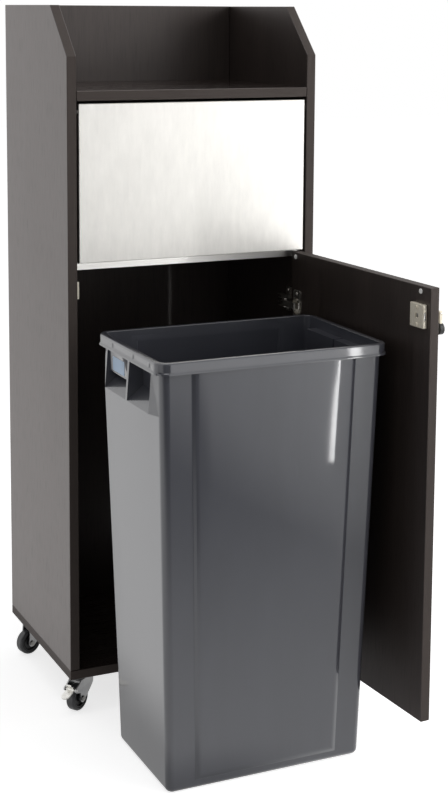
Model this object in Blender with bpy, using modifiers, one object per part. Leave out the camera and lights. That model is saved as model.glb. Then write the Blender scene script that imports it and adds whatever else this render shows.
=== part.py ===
import math

import bmesh
import bpy
from mathutils import Matrix, Vector

# Cabinet body, metres
CABINET_WIDTH = 0.500
CABINET_DEPTH = 0.370
CARCASS_HEIGHT = 1.254
BOARD = 0.018
SLOPE = 0.091
TRAY_SPACE = 0.1525
GAP = 0.0003
FIT = 0.0003
EDGE = 0.0008

# Flap, its pins and bushes
FLAP_HEIGHT = 0.289
FLAP_DEPTH = 0.016
FLAP_SHEET = 0.001
FLAP_SIDE_GAP = 0.0045
FLAP_TOP_GAP = 0.0055
FLAP_PIVOT_DROP = 0.014
FLAP_PIVOT_BACK = 0.0085
PIN_RADIUS = 0.003
PIN_IN_FLAP = 0.020
BUSH_DEPTH = 0.010
BUSH_WALL = 0.0015
BUSH_COLLAR = 0.002
BUSH_COLLAR_THICK = 0.0015

# Stop rail below the flap
RAIL_TOP_GAP = 0.003
RAIL_HEIGHT = 0.012
RAIL_DEPTH = 0.030
RAIL_SHEET = 0.0015
PAD_RADIUS = 0.0045
PAD_THICK = 0.0017
PAD_DROP = 0.009
PAD_FROM_HINGE_EDGE = 0.0157
PAD_FROM_FREE_EDGE = 0.0282

# Door and its hinge axis
DOOR_GAP = 0.002
DOOR_OPEN = math.radians(93.4)
AXIS_INSET = 0.008
AXIS_BACK = 0.002

# Door hinges
HINGE_FROM_END = 0.104
CUP_SETBACK = 0.0225
CUP_RADIUS = 0.0172
CUP_WALL = 0.0012
CUP_DEPTH = 0.011
FLANGE_WIDTH = 0.026
FLANGE_HEIGHT = 0.062
FLANGE_SHEET = 0.0012
FLANGE_CORNER = 0.006
LINK_PIN_RADIUS = 0.002
LINK_EYE_RADIUS = 0.0035
LINK_PIN_DEPTH = 0.0055
LINK_RISE = 0.012
LINK_REACH = 0.044
LINK_SHEET = 0.002
LINK_HEIGHT = 0.012
ARM_FRONT = 0.0212
ARM_LENGTH = 0.064
ARM_RISE = 0.0275
ARM_SHEET = 0.0014
ARM_SIDE_CLEAR = 0.001
ARM_REAR_RISE = 0.011
ARM_STEP = 0.45
ARM_STEP_LENGTH = 0.010
ARM_NOSE = 0.004
PLATE_THICK = 0.003
PLATE_BACK = 0.046
PLATE_LENGTH = 0.042
PLATE_BAR = 0.014
WING_LENGTH = 0.017
WING_HEIGHT = 0.048

# Lock, key and strike
LOCK_FROM_FREE_EDGE = 0.009
LOCK_WIDTH = 0.0395
LOCK_HEIGHT = 0.041
LOCK_THICK = 0.0078
LOCK_DROP = 0.050
KEYHOLE_FROM_FREE_EDGE = 0.0283
SPINDLE_HOLE = 0.007
BOLT_HEIGHT = 0.014
BOLT_THICK = 0.0036
BOLT_LENGTH = 0.030
BOLT_FROM_DOOR = 0.0026
BARREL_RADIUS = 0.0088
BARREL_HEAD_RADIUS = 0.0108
BARREL_HEAD_THICK = 0.002
PLUG_RADIUS = 0.006
ESCUTCHEON_WIDTH = 0.030
ESCUTCHEON_HEIGHT = 0.058
ESCUTCHEON_THICK = 0.002
ESCUTCHEON_DROP = 0.012
KEY_BLADE_HEIGHT = 0.008
KEY_BLADE_THICK = 0.0024
KEY_BLADE_IN = 0.007
KEY_NECK = 0.017
KEY_PIN_RADIUS = 0.0014
KEY_EYE_RADIUS = 0.0042
BOW_WIDTH = 0.022
BOW_THICK = 0.008
BOW_LENGTH = 0.042
BOW_ABOVE_PIN = 0.0044
BOW_FORK = 0.012
STRIKE_HEIGHT = 0.032
STRIKE_LIP = 0.0095
STRIKE_LENGTH = 0.028
STRIKE_SHEET = 0.0013
STRIKE_FROM_DOOR = 0.0006

# Loose tub
TUB_SIDE_CLEAR = 0.016
TUB_DEPTH_CLEAR = 0.040
TUB_HEAD_CLEAR = 0.003
TUB_TAPER_LENGTH = 0.021
TUB_TAPER_DEPTH = 0.021
TUB_RIM_OUT = 0.010
TUB_RIM_HEIGHT = 0.020
TUB_WALL = 0.003
TUB_CORNER = 0.014
TUB_FOOT_CORNER = 0.010
TUB_OFFSET_X = -0.0137
TUB_STAND_OFF = 0.0872
PANEL_BORDER = 0.038
PANEL_SLOPE = 0.009
PANEL_PROUD = 0.006
PANEL_LOW = 0.018
PANEL_BURIED = 0.0015
GRIP_WIDTH = 0.095
GRIP_HEIGHT = 0.063
GRIP_DEPTH = 0.016
GRIP_RIB = 0.010
GRIP_BELOW_RIM = 0.002
LABEL_HEIGHT = 0.040
LABEL_THICK = 0.0015

# Castors
WHEEL_RADIUS = 0.025
TYRE_WIDTH = 0.018
TYRE_THICK = 0.006
TYRE_ROUND = 0.004
HUB_WIDTH = 0.016
HUB_BOSS_RADIUS = 0.0075
HUB_RIM = 0.004
HUB_WEB = 0.007
CASTOR_HEAD = 0.022
CASTOR_INSET = 0.042
CASTOR_TRAIL = 0.024
CASTOR_PLATE = 0.060
CASTOR_PLATE_THICK = 0.0025
CASTOR_PLATE_CORNER = 0.006
RACE_RADIUS = 0.015
RACE_THICK = 0.004
CROWN_RACE_THICK = 0.0027
FORK_SHEET = 0.0025
FORK_SIDE_CLEAR = 0.0025
FORK_FRONT = 0.016
FORK_REAR = 0.028
FORK_LIP = 0.004
FORK_BOSS_WALL = 0.002
KINGPIN_RADIUS = 0.005
KINGPIN_HEAD_RADIUS = 0.0075
KINGPIN_HEAD_THICK = 0.002
AXLE_RADIUS = 0.003
AXLE_HEAD_RADIUS = 0.0055
AXLE_HEAD_THICK = 0.003
PEDAL_PIN_RADIUS = 0.002
PEDAL_BOSS_RADIUS = 0.0035
PEDAL_BACK = 0.0195
PEDAL_RISE = 0.0215
PEDAL_TOE = 0.022
PEDAL_HEEL = 0.013
PEDAL_SHEET = 0.0022
PEDAL_WIDTH = 0.0165
PEDAL_TOE_FALL = math.radians(22.0)
PEDAL_HEEL_RISE = math.radians(55.0)
CASTOR_TURNS = {
    "front_left": math.radians(35.0),
    "front_right": math.radians(20.0),
    "rear_left": math.radians(17.0),
    "rear_right": math.radians(8.0),
}
STEPS = 24
SMALL_STEPS = 16

# Sizes that follow from the ones above
CASTOR_HEIGHT = 2.0 * WHEEL_RADIUS + CASTOR_HEAD
FRONT = -CABINET_DEPTH / 2.0
REAR = CABINET_DEPTH / 2.0
INNER_HALF = CABINET_WIDTH / 2.0 - BOARD
FLOOR_TOP = CASTOR_HEIGHT + BOARD
CARCASS_TOP = CASTOR_HEIGHT + CARCASS_HEIGHT
SHELF_TOP = CARCASS_TOP - TRAY_SPACE
FLAP_TOP = SHELF_TOP - BOARD - FLAP_TOP_GAP
FLAP_BOTTOM = FLAP_TOP - FLAP_HEIGHT
RAIL_TOP = FLAP_BOTTOM - RAIL_TOP_GAP
RAIL_BOTTOM = RAIL_TOP - RAIL_HEIGHT
DOOR_TOP = RAIL_TOP
DOOR_BOTTOM = FLOOR_TOP + DOOR_GAP
DOOR_HALF = INNER_HALF - DOOR_GAP
DOOR_BACK = FRONT + BOARD
RAIL_FRONT = DOOR_BACK + GAP + PAD_THICK + GAP
AXIS_X = INNER_HALF - AXIS_INSET
AXIS_Y = FRONT + AXIS_BACK
HINGE_HEIGHTS = {"upper": DOOR_TOP - HINGE_FROM_END, "lower": DOOR_BOTTOM + HINGE_FROM_END}
LOCK_Z = DOOR_TOP - LOCK_DROP
LOCK_AXIS_X = -DOOR_HALF + KEYHOLE_FROM_FREE_EDGE
FLAP_PIVOT = Vector((0.0, FRONT + FLAP_PIVOT_BACK, FLAP_TOP - FLAP_PIVOT_DROP))
TUB_HEIGHT = RAIL_BOTTOM - FLOOR_TOP - TUB_HEAD_CLEAR
TUB_RIM_X = INNER_HALF - TUB_SIDE_CLEAR
TUB_RIM_Y = (CABINET_DEPTH - BOARD - BOARD - TUB_DEPTH_CLEAR) / 2.0 - GAP
TUB_Y = FRONT - TUB_STAND_OFF - TUB_RIM_Y
FORK_HALF = TYRE_WIDTH / 2.0 + FORK_SIDE_CLEAR


def start():
    for item in list(bpy.data.objects):
        bpy.data.objects.remove(item, do_unlink=True)
    scene = bpy.context.scene
    parts = bpy.data.collections.new("waste_bin_cabinet")
    cutters = bpy.data.collections.new("cutters")
    scene.collection.children.link(parts)
    scene.collection.children.link(cutters)
    return parts, cutters


PARTS, CUTTERS = start()


def material(name, colour, roughness, metallic=0.0):
    made = bpy.data.materials.new(name)
    made.use_nodes = True
    shader = made.node_tree.nodes["Principled BSDF"]
    shader.inputs["Base Color"].default_value = (*colour, 1.0)
    shader.inputs["Roughness"].default_value = roughness
    shader.inputs["Metallic"].default_value = metallic
    made.diffuse_color = (*colour, 1.0)
    return made


WENGE = material("wenge_board", (0.045, 0.036, 0.030), 0.55)
CORE = material("core_board", (0.060, 0.048, 0.040), 0.70)
FLAP_STEEL = material("flap_steel", (0.78, 0.77, 0.75), 0.32, 1.0)
RAIL_STEEL = material("rail_steel", (0.70, 0.69, 0.67), 0.30, 1.0)
NICKEL = material("hinge_nickel", (0.66, 0.64, 0.60), 0.28, 1.0)
LOCK_NICKEL = material("lock_nickel", (0.58, 0.55, 0.47), 0.35, 1.0)
ZINC = material("castor_zinc", (0.60, 0.60, 0.60), 0.35, 1.0)
BRIGHT = material("bright_steel", (0.74, 0.73, 0.71), 0.22, 1.0)
NYLON = material("white_nylon", (0.82, 0.82, 0.80), 0.45)
TUB_PLASTIC = material("tub_plastic", (0.125, 0.130, 0.140), 0.32)
LABEL_PLASTIC = material("label_plastic", (0.55, 0.55, 0.56), 0.40)
BLACK_PLASTIC = material("black_plastic", (0.020, 0.020, 0.021), 0.45)
TYRE_RUBBER = material("tyre_rubber", (0.045, 0.045, 0.047), 0.60)


def finish(name, mesh, surface, parent, location, rotation=(0.0, 0.0, 0.0), collection=None):
    item = bpy.data.objects.new(name, mesh)
    (collection or PARTS).objects.link(item)
    item.parent = parent
    item.location = location
    item.rotation_euler = rotation
    if surface is None:
        item.hide_render = True
        item.display_type = "WIRE"
    else:
        mesh.materials.append(surface)
    return item


def empty(name, location, turn=0.0, parent=None):
    item = bpy.data.objects.new(name, None)
    PARTS.objects.link(item)
    item.parent = parent
    item.location = location
    item.rotation_euler = (0.0, 0.0, turn)
    return item


def to_mesh(name, bm):
    mesh = bpy.data.meshes.new(name)
    bm.to_mesh(mesh)
    bm.free()
    return mesh


def box_mesh(name, boxes):
    # Each box is a pair of low and high corners
    bm = bmesh.new()
    for low, high in boxes:
        low = Vector(low)
        high = Vector(high)
        matrix = Matrix.Translation((low + high) / 2.0) @ Matrix.Diagonal((*(high - low), 1.0))
        bmesh.ops.create_cube(bm, size=1.0, matrix=matrix)
    return to_mesh(name, bm)


def board(name, low, high, surface, parent=None, edge=EDGE):
    low = Vector(low)
    high = Vector(high)
    half = (high - low) / 2.0
    item = finish(name, box_mesh(name, [(-half, half)]), surface, parent, (low + high) / 2.0)
    if edge:
        bevel(item, edge)
    return item


def bevel(item, width, segments=1):
    modifier = item.modifiers.new("edges", "BEVEL")
    modifier.width = width
    modifier.segments = segments
    modifier.limit_method = "ANGLE"
    modifier.angle_limit = math.radians(40.0)
    modifier.use_clamp_overlap = True
    return modifier


def combine(item, other, operation="DIFFERENCE"):
    modifier = item.modifiers.new("shape", "BOOLEAN")
    modifier.operation = operation
    modifier.solver = "EXACT"
    modifier.object = other
    return modifier


def cutter(name, mesh, parent=None, location=(0.0, 0.0, 0.0), rotation=(0.0, 0.0, 0.0)):
    return finish(name, mesh, None, parent, location, rotation, CUTTERS)


def box_cutter(name, low, high, parent=None):
    return cutter(name, box_mesh(name, [(low, high)]), parent)


AXES = {
    "X": Matrix.Rotation(math.pi / 2.0, 4, "Y"),
    "Y": Matrix.Rotation(math.pi / 2.0, 4, "X"),
    "Z": Matrix.Identity(4),
}


def rod_mesh(name, radius, length, axis, steps=SMALL_STEPS, centre=(0.0, 0.0, 0.0)):
    bm = bmesh.new()
    bmesh.ops.create_cone(
        bm,
        cap_ends=True,
        segments=steps,
        radius1=radius,
        radius2=radius,
        depth=length,
        matrix=Matrix.Translation(centre) @ AXES[axis],
    )
    return to_mesh(name, bm)


def rod_cutter(name, radius, length, axis, centre, parent=None, steps=SMALL_STEPS):
    return cutter(name, rod_mesh(name, radius, length, axis, steps), parent, centre)


def turned(name, profile, surface, parent, location, rotation, closed, steps=STEPS):
    # Profile points are radius and height, down the outer side
    bm = bmesh.new()
    made = [bm.verts.new((radius, 0.0, height)) for radius, height in profile]
    for first, second in zip(made, made[1:]):
        bm.edges.new((first, second))
    if closed:
        bm.edges.new((made[-1], made[0]))
    item = finish(name, to_mesh(name, bm), surface, parent, location, rotation)
    modifier = item.modifiers.new("turn", "SCREW")
    modifier.axis = "Z"
    modifier.steps = steps
    modifier.render_steps = steps
    modifier.use_merge_vertices = True
    modifier.merge_threshold = 0.00001
    modifier.use_smooth_shade = False
    return item


def outline_mesh(name, points, thickness, upright=False):
    # A flat outline in the XY plane, or in the XZ plane when upright
    curve = bpy.data.curves.new(name, "CURVE")
    curve.dimensions = "2D"
    curve.fill_mode = "BOTH"
    curve.extrude = thickness / 2.0
    spline = curve.splines.new("POLY")
    spline.points.add(len(points) - 1)
    for point, (across, along) in zip(spline.points, points):
        point.co = (across, along, 0.0, 1.0)
    spline.use_cyclic_u = True
    holder = bpy.data.objects.new(name, curve)
    mesh = bpy.data.meshes.new_from_object(holder)
    bpy.data.objects.remove(holder, do_unlink=True)
    bm = bmesh.new()
    bm.from_mesh(mesh)
    bmesh.ops.remove_doubles(bm, verts=bm.verts, dist=0.00002)
    bmesh.ops.dissolve_limit(bm, angle_limit=math.radians(1.0), verts=bm.verts, edges=bm.edges)
    bmesh.ops.recalc_face_normals(bm, faces=bm.faces)
    if upright:
        bm.transform(AXES["Y"])
    bm.to_mesh(mesh)
    bm.free()
    mesh.materials.clear()
    return mesh


def arc(centre, radius, first, last, count):
    points = []
    for index in range(count + 1):
        angle = math.radians(first + (last - first) * index / count)
        points.append((centre[0] + radius * math.cos(angle), centre[1] + radius * math.sin(angle)))
    return points


def rounded_outline(width, height, radius, count=4):
    points = []
    for sign_x, sign_y, first in ((1, 1, 0), (-1, 1, 90), (-1, -1, 180), (1, -1, 270)):
        centre = (sign_x * (width / 2.0 - radius), sign_y * (height / 2.0 - radius))
        points += arc(centre, radius, first, first + 90, count)
    return points


def side_panel(side, sign):
    # Outline along the depth and the height, with the sloped top front corner
    low = FLOOR_TOP + GAP
    points = [(FRONT, low), (REAR, low), (REAR, CARCASS_TOP)]
    points += [(FRONT + SLOPE, CARCASS_TOP), (FRONT, CARCASS_TOP - SLOPE)]
    name = "side_panel_" + side
    mesh = outline_mesh(name, points, BOARD)
    mesh.transform(Matrix.Rotation(math.pi / 2.0, 4, "Z") @ Matrix.Rotation(math.pi / 2.0, 4, "X"))
    item = finish(name, mesh, WENGE, None, (sign * (INNER_HALF + BOARD / 2.0), 0.0, 0.0))
    bevel(item, EDGE)
    radius = PIN_RADIUS + FIT + BUSH_WALL + FIT
    depth = BUSH_DEPTH + FIT
    centre = (sign * (INNER_HALF + depth / 2.0 - 0.001), FLAP_PIVOT.y, FLAP_PIVOT.z)
    combine(item, rod_cutter("bush_hole_" + side, radius, depth + 0.002, "X", centre))
    return item


def carcass():
    half = CABINET_WIDTH / 2.0
    board("base_board", (-half, FRONT, CASTOR_HEIGHT), (half, REAR, FLOOR_TOP), WENGE)
    side_panel("left", -1)
    side_panel("right", 1)
    inner = INNER_HALF - GAP
    back_front = REAR - BOARD
    board("back_panel", (-inner, back_front, FLOOR_TOP + GAP), (inner, REAR, CARCASS_TOP), WENGE)
    board("tray_shelf", (-inner, FRONT, SHELF_TOP - BOARD), (inner, back_front - GAP, SHELF_TOP), WENGE)


def stop_rail():
    # Angle with a front leg, a top leg and a tab at each end
    half = INNER_HALF - GAP
    rear = RAIL_FRONT + RAIL_DEPTH
    low = (-half, RAIL_FRONT, RAIL_BOTTOM)
    high = (half, rear, RAIL_TOP)
    item = finish("stop_rail", box_mesh("stop_rail", [(low, high)]), RAIL_STEEL, None, (0.0, 0.0, 0.0))
    low = (-half + RAIL_SHEET, RAIL_FRONT + RAIL_SHEET, RAIL_BOTTOM - 0.01)
    high = (half - RAIL_SHEET, rear + 0.01, RAIL_TOP - RAIL_SHEET)
    combine(item, box_cutter("rail_hollow", low, high))


def flap():
    pivot = empty("flap_axis", FLAP_PIVOT)
    half = INNER_HALF - FLAP_SIDE_GAP
    low = Vector((-half, FRONT, FLAP_BOTTOM)) - FLAP_PIVOT
    high = Vector((half, FRONT + FLAP_DEPTH, FLAP_TOP)) - FLAP_PIVOT
    front = board("flap_front", low, high, FLAP_STEEL, pivot)
    sheet = Vector((FLAP_SHEET, FLAP_SHEET, FLAP_SHEET))
    hollow_high = high - sheet
    hollow_high.y = high.y + 0.01
    combine(front, box_cutter("flap_hollow", low + sheet, hollow_high, pivot))
    fit = Vector((FIT, FIT, FIT))
    core_high = high - sheet - fit
    core_high.y = high.y
    core = board("flap_core", low + sheet + fit, core_high, CORE, pivot, 0.0)
    hole_radius = PIN_RADIUS + FIT
    for side, sign in (("left", -1), ("right", 1)):
        inner = half - PIN_IN_FLAP
        outer = INNER_HALF + BUSH_DEPTH - FIT
        hole = rod_cutter(
            "pin_hole_" + side,
            hole_radius,
            PIN_IN_FLAP + FIT + 0.01,
            "X",
            (sign * (inner - FIT + half + 0.01) / 2.0, 0.0, 0.0),
            pivot,
        )
        combine(front, hole)
        combine(core, hole)
        mesh = rod_mesh("flap_pin_" + side, PIN_RADIUS, outer - inner, "X")
        pin = finish("flap_pin_" + side, mesh, BRIGHT, pivot, (sign * (inner + outer) / 2.0, 0.0, 0.0))
        bevel(pin, 0.0005)
        bush(side, sign)


def bush(side, sign):
    bore = PIN_RADIUS + FIT
    outside = bore + BUSH_WALL
    collar = outside + BUSH_COLLAR
    face = GAP + BUSH_COLLAR_THICK
    profile = [(bore, face), (collar, face), (collar, GAP), (outside, GAP)]
    profile += [(outside, -BUSH_DEPTH), (bore, -BUSH_DEPTH)]
    location = (sign * INNER_HALF, FLAP_PIVOT.y, FLAP_PIVOT.z)
    turn = (0.0, -sign * math.pi / 2.0, 0.0)
    turned("flap_bush_" + side, profile, NYLON, None, location, turn, True, SMALL_STEPS)


def in_door(x, y, z):
    return Vector((x - AXIS_X, y - AXIS_Y, z))


def door():
    axis = empty("door_axis", (AXIS_X, AXIS_Y, 0.0), DOOR_OPEN)
    low = in_door(-DOOR_HALF, FRONT, DOOR_BOTTOM)
    high = in_door(DOOR_HALF, DOOR_BACK, DOOR_TOP)
    panel = board("door_panel", low, high, WENGE, axis)
    pads = (
        ("bumper_hinge_side", DOOR_HALF - PAD_FROM_HINGE_EDGE),
        ("bumper_free_side", -DOOR_HALF + PAD_FROM_FREE_EDGE),
    )
    for name, x in pads:
        mesh = rod_mesh(name, PAD_RADIUS, PAD_THICK, "Y")
        place = in_door(x, DOOR_BACK + GAP + PAD_THICK / 2.0, DOOR_TOP - PAD_DROP)
        bevel(finish(name, mesh, NYLON, axis, place), 0.0004)
    for level, height in HINGE_HEIGHTS.items():
        hinge(level, height, axis, panel)
    lock(axis, panel)
    return axis


def hinge(level, height, axis, panel):
    cup_x = DOOR_HALF - CUP_SETBACK
    deep = CUP_DEPTH + FIT
    place = in_door(cup_x, DOOR_BACK - deep / 2.0 + 0.001, height)
    hole = rod_cutter("cup_hole_" + level, CUP_RADIUS + FIT, deep + 0.002, "Y", place, axis, STEPS)
    combine(panel, hole)
    hinge_cup(level, height, axis, cup_x)
    hinge_link(level, height, axis, cup_x)
    hinge_arm(level, height)
    hinge_plate(level, height)


def hinge_cup(level, height, axis, cup_x):
    # Flange, sunk can and the cross pin that the link turns on
    name = "hinge_cup_" + level
    face = DOOR_BACK + GAP
    points = rounded_outline(FLANGE_WIDTH, FLANGE_HEIGHT, FLANGE_CORNER)
    mesh = outline_mesh(name, points, FLANGE_SHEET, True)
    item = finish(name, mesh, NICKEL, axis, in_door(cup_x, face + FLANGE_SHEET / 2.0, height))
    length = CUP_DEPTH + GAP + FLANGE_SHEET * 0.5
    centre = in_door(cup_x, DOOR_BACK - CUP_DEPTH + length / 2.0, height)
    can = rod_cutter("cup_can_" + level, CUP_RADIUS, length, "Y", centre, axis, STEPS)
    combine(item, can, "UNION")
    length = CUP_DEPTH - CUP_WALL + 0.01
    centre = in_door(cup_x, DOOR_BACK - CUP_DEPTH + CUP_WALL + length / 2.0, height)
    inside = CUP_RADIUS - CUP_WALL
    combine(item, rod_cutter("cup_hollow_" + level, inside, length, "Y", centre, axis, STEPS))
    centre = in_door(cup_x, DOOR_BACK - LINK_PIN_DEPTH, height)
    pin_length = 2.0 * inside + CUP_WALL
    pin = rod_cutter("cup_pin_" + level, LINK_PIN_RADIUS, pin_length, "Z", centre, axis, 12)
    combine(item, pin, "UNION")


def hinge_link(level, height, axis, cup_x):
    # Bent strip from the pin in the cup, out and round the door's edge
    name = "hinge_link_" + level
    half = LINK_SHEET / 2.0
    neck = math.degrees(math.asin(half / LINK_EYE_RADIUS))
    points = arc((0.0, 0.0), LINK_EYE_RADIUS, 90.0 + neck, 450.0 - neck, 16)
    points += [(half, LINK_RISE - half), (LINK_REACH, LINK_RISE - half)]
    points += [(LINK_REACH, LINK_RISE + half)]
    points += [(half * 0.5, LINK_RISE + half), (-half, LINK_RISE - half * 0.5)]
    place = in_door(cup_x, DOOR_BACK - LINK_PIN_DEPTH, height)
    item = finish(name, outline_mesh(name, points, LINK_HEIGHT), NICKEL, axis, place)
    radius = LINK_PIN_RADIUS + FIT
    combine(item, rod_cutter("link_hole_" + level, radius, LINK_HEIGHT * 2.0, "Z", place, axis, 12))


def hinge_arm(level, height):
    # Channel on the mounting plate, open towards the middle of the cabinet
    name = "hinge_arm_" + level
    front = FRONT + ARM_FRONT
    rear = front + ARM_LENGTH
    back = INNER_HALF - GAP - PLATE_THICK - GAP
    top = back - ARM_RISE
    nose = top + ARM_NOSE
    low_wall = back - ARM_REAR_RISE
    step = front + ARM_LENGTH * ARM_STEP
    points = [(back, rear), (low_wall, rear), (low_wall, step + ARM_STEP_LENGTH), (top, step)]
    points += [(top, front + ARM_NOSE), (nose, front), (back, front)]
    wide = LINK_HEIGHT + 2.0 * (ARM_SIDE_CLEAR + ARM_SHEET)
    item = finish(name, outline_mesh(name, points, wide), NICKEL, None, (0.0, 0.0, height))
    inside = LINK_HEIGHT / 2.0 + ARM_SIDE_CLEAR
    low = (nose - 0.02, front - 0.01, height - inside)
    high = (back - ARM_SHEET, rear + 0.01, height + inside)
    combine(item, box_cutter("arm_hollow_" + level, low, high))


def hinge_plate(level, height):
    # Bar along the depth with a wing above and below
    name = "hinge_plate_" + level
    face = INNER_HALF - GAP
    front = FRONT + PLATE_BACK
    middle = front + PLATE_LENGTH * 0.40
    bar = PLATE_BAR / 2.0
    wing = WING_HEIGHT / 2.0
    first = middle - WING_LENGTH / 2.0
    last = middle + WING_LENGTH / 2.0
    points = [(front, -bar), (first, -bar), (first, -wing), (last, -wing), (last, -bar)]
    points += [(front + PLATE_LENGTH, -bar), (front + PLATE_LENGTH, bar), (last, bar), (last, wing)]
    points += [(first, wing), (first, bar), (front, bar)]
    mesh = outline_mesh(name, points, PLATE_THICK)
    mesh.transform(Matrix.Rotation(math.pi / 2.0, 4, "Z") @ Matrix.Rotation(math.pi / 2.0, 4, "X"))
    bevel(finish(name, mesh, NICKEL, None, (face - PLATE_THICK / 2.0, 0.0, height)), 0.0006)


def lock(axis, panel):
    face = DOOR_BACK + GAP
    case_low = in_door(-DOOR_HALF + LOCK_FROM_FREE_EDGE, face, LOCK_Z - LOCK_HEIGHT / 2.0)
    case_high = case_low + Vector((LOCK_WIDTH, LOCK_THICK, LOCK_HEIGHT))
    case = board("lock_case", case_low, case_high, LOCK_NICKEL, axis, 0.001)
    bolt_low = Vector((case_low.x, face + BOLT_FROM_DOOR - AXIS_Y, LOCK_Z - BOLT_HEIGHT / 2.0))
    bolt_high = bolt_low + Vector((BOLT_LENGTH, BOLT_THICK, BOLT_HEIGHT))
    fit = Vector((FIT, FIT, FIT))
    channel_low = bolt_low - fit - Vector((0.01, 0.0, 0.0))
    combine(case, box_cutter("bolt_channel", channel_low, bolt_high + fit, axis))
    board("lock_bolt", bolt_low, bolt_high, BRIGHT, axis, 0.0005)
    on_axis = in_door(LOCK_AXIS_X, 0.0, LOCK_Z)
    half = SPINDLE_HOLE / 2.0
    hole_low = Vector((on_axis.x - half, bolt_high.y, LOCK_Z - half))
    hole_high = Vector((on_axis.x + half, case_high.y + 0.01, LOCK_Z + half))
    combine(case, box_cutter("spindle_hole", hole_low, hole_high, axis))
    lock_cylinder(axis, panel, case, on_axis, bolt_low.y)


def lock_cylinder(axis, panel, case, on_axis, bolt_front):
    # All depths run along the door's shut direction, from its outer face
    outer = FRONT - AXIS_Y
    inner = DOOR_BACK - AXIS_Y
    plate_front = outer - GAP - ESCUTCHEON_THICK
    hole = rod_cutter(
        "barrel_hole",
        BARREL_RADIUS + FIT,
        0.05,
        "Y",
        (on_axis.x, (outer + inner) / 2.0, LOCK_Z),
        axis,
    )
    combine(panel, hole)
    points = rounded_outline(ESCUTCHEON_WIDTH, ESCUTCHEON_HEIGHT, ESCUTCHEON_WIDTH * 0.48)
    mesh = outline_mesh("lock_escutcheon", points, ESCUTCHEON_THICK, True)
    place = (on_axis.x, plate_front + ESCUTCHEON_THICK / 2.0, LOCK_Z - ESCUTCHEON_DROP)
    plate = finish("lock_escutcheon", mesh, LOCK_NICKEL, axis, place)
    combine(plate, hole)
    head = plate_front - GAP
    front = head - BARREL_HEAD_THICK
    bore = PLUG_RADIUS + FIT
    top = -front
    profile = [(bore, top), (BARREL_HEAD_RADIUS, top), (BARREL_HEAD_RADIUS, -head)]
    profile += [(BARREL_RADIUS, -head), (BARREL_RADIUS, -inner), (bore, -inner)]
    turned(
        "lock_barrel",
        profile,
        BRIGHT,
        axis,
        (on_axis.x, 0.0, LOCK_Z),
        (math.pi / 2.0, 0.0, 0.0),
        True,
        SMALL_STEPS,
    )
    plug_rear = bolt_front - 2.0 * FIT
    length = plug_rear - front
    centre = Vector((on_axis.x, (front + plug_rear) / 2.0, LOCK_Z))
    mesh = rod_mesh("lock_plug", PLUG_RADIUS, length, "Y")
    plug = finish("lock_plug", mesh, LOCK_NICKEL, axis, centre)
    place = (on_axis.x, plug_rear + FIT - 0.01, LOCK_Z)
    combine(case, rod_cutter("plug_hole", bore, 0.02, "Y", place, axis))
    key(axis, plug, on_axis.x, front)


def key(axis, plug, x, plug_front):
    # Flat blade in the plug, a neck with a cross pin, and the bow that hangs on it
    blade = KEY_BLADE_THICK / 2.0
    wide = blade + FIT
    tall = KEY_BLADE_HEIGHT / 2.0 + FIT
    slot_low = Vector((x - wide, plug_front - 0.01, LOCK_Z - tall))
    slot_high = Vector((x + wide, plug_front + KEY_BLADE_IN + FIT, LOCK_Z + tall))
    combine(plug, box_cutter("key_slot", slot_low, slot_high, axis))
    pin_y = plug_front - KEY_NECK
    half = KEY_BLADE_HEIGHT / 2.0
    tip = KEY_NECK + KEY_BLADE_IN
    points = [(tip, -half), (tip, half), (0.0, KEY_EYE_RADIUS)]
    points += arc((0.0, 0.0), KEY_EYE_RADIUS, 105.0, 255.0, 8)
    points += [(0.0, -KEY_EYE_RADIUS)]
    mesh = outline_mesh("key_shank", points, KEY_BLADE_THICK)
    mesh.transform(Matrix.Rotation(math.pi / 2.0, 4, "Z") @ Matrix.Rotation(math.pi / 2.0, 4, "X"))
    place = Vector((x, pin_y, LOCK_Z))
    shank = finish("key_shank", mesh, BRIGHT, axis, place)
    pin_length = BOW_WIDTH * 0.5
    combine(shank, rod_cutter("key_pin", KEY_PIN_RADIUS, pin_length, "X", place, axis, 12), "UNION")
    middle = BOW_ABOVE_PIN - BOW_LENGTH / 2.0
    low = Vector((-BOW_WIDTH / 2.0, -BOW_THICK / 2.0, middle - BOW_LENGTH / 2.0))
    high = Vector((BOW_WIDTH / 2.0, BOW_THICK / 2.0, middle + BOW_LENGTH / 2.0))
    bow = finish("key_bow", box_mesh("key_bow", [(low, high)]), BLACK_PLASTIC, axis, place)
    bevel(bow, 0.003, 3)
    slot = blade + FIT
    low = place + Vector((-slot, -BOW_THICK, BOW_ABOVE_PIN - BOW_FORK))
    high = place + Vector((slot, BOW_THICK, BOW_ABOVE_PIN + 0.01))
    combine(bow, box_cutter("bow_slot", low, high, axis))
    radius = KEY_PIN_RADIUS + FIT
    combine(bow, rod_cutter("bow_hole", radius, pin_length + 2.0 * FIT, "X", place, axis, 12))


def strike():
    # Leg on the side panel and a lip across, in front of the thrown bolt
    front = DOOR_BACK + STRIKE_FROM_DOOR
    face = -INNER_HALF + GAP
    points = [(face, front), (face + STRIKE_LIP, front), (face + STRIKE_LIP, front + STRIKE_SHEET)]
    points += [(face + STRIKE_SHEET, front + STRIKE_SHEET), (face + STRIKE_SHEET, front + STRIKE_LENGTH)]
    points += [(face, front + STRIKE_LENGTH)]
    mesh = outline_mesh("strike_plate", points, STRIKE_HEIGHT)
    bevel(finish("strike_plate", mesh, LOCK_NICKEL, None, (0.0, 0.0, LOCK_Z)), 0.0004)


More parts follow.
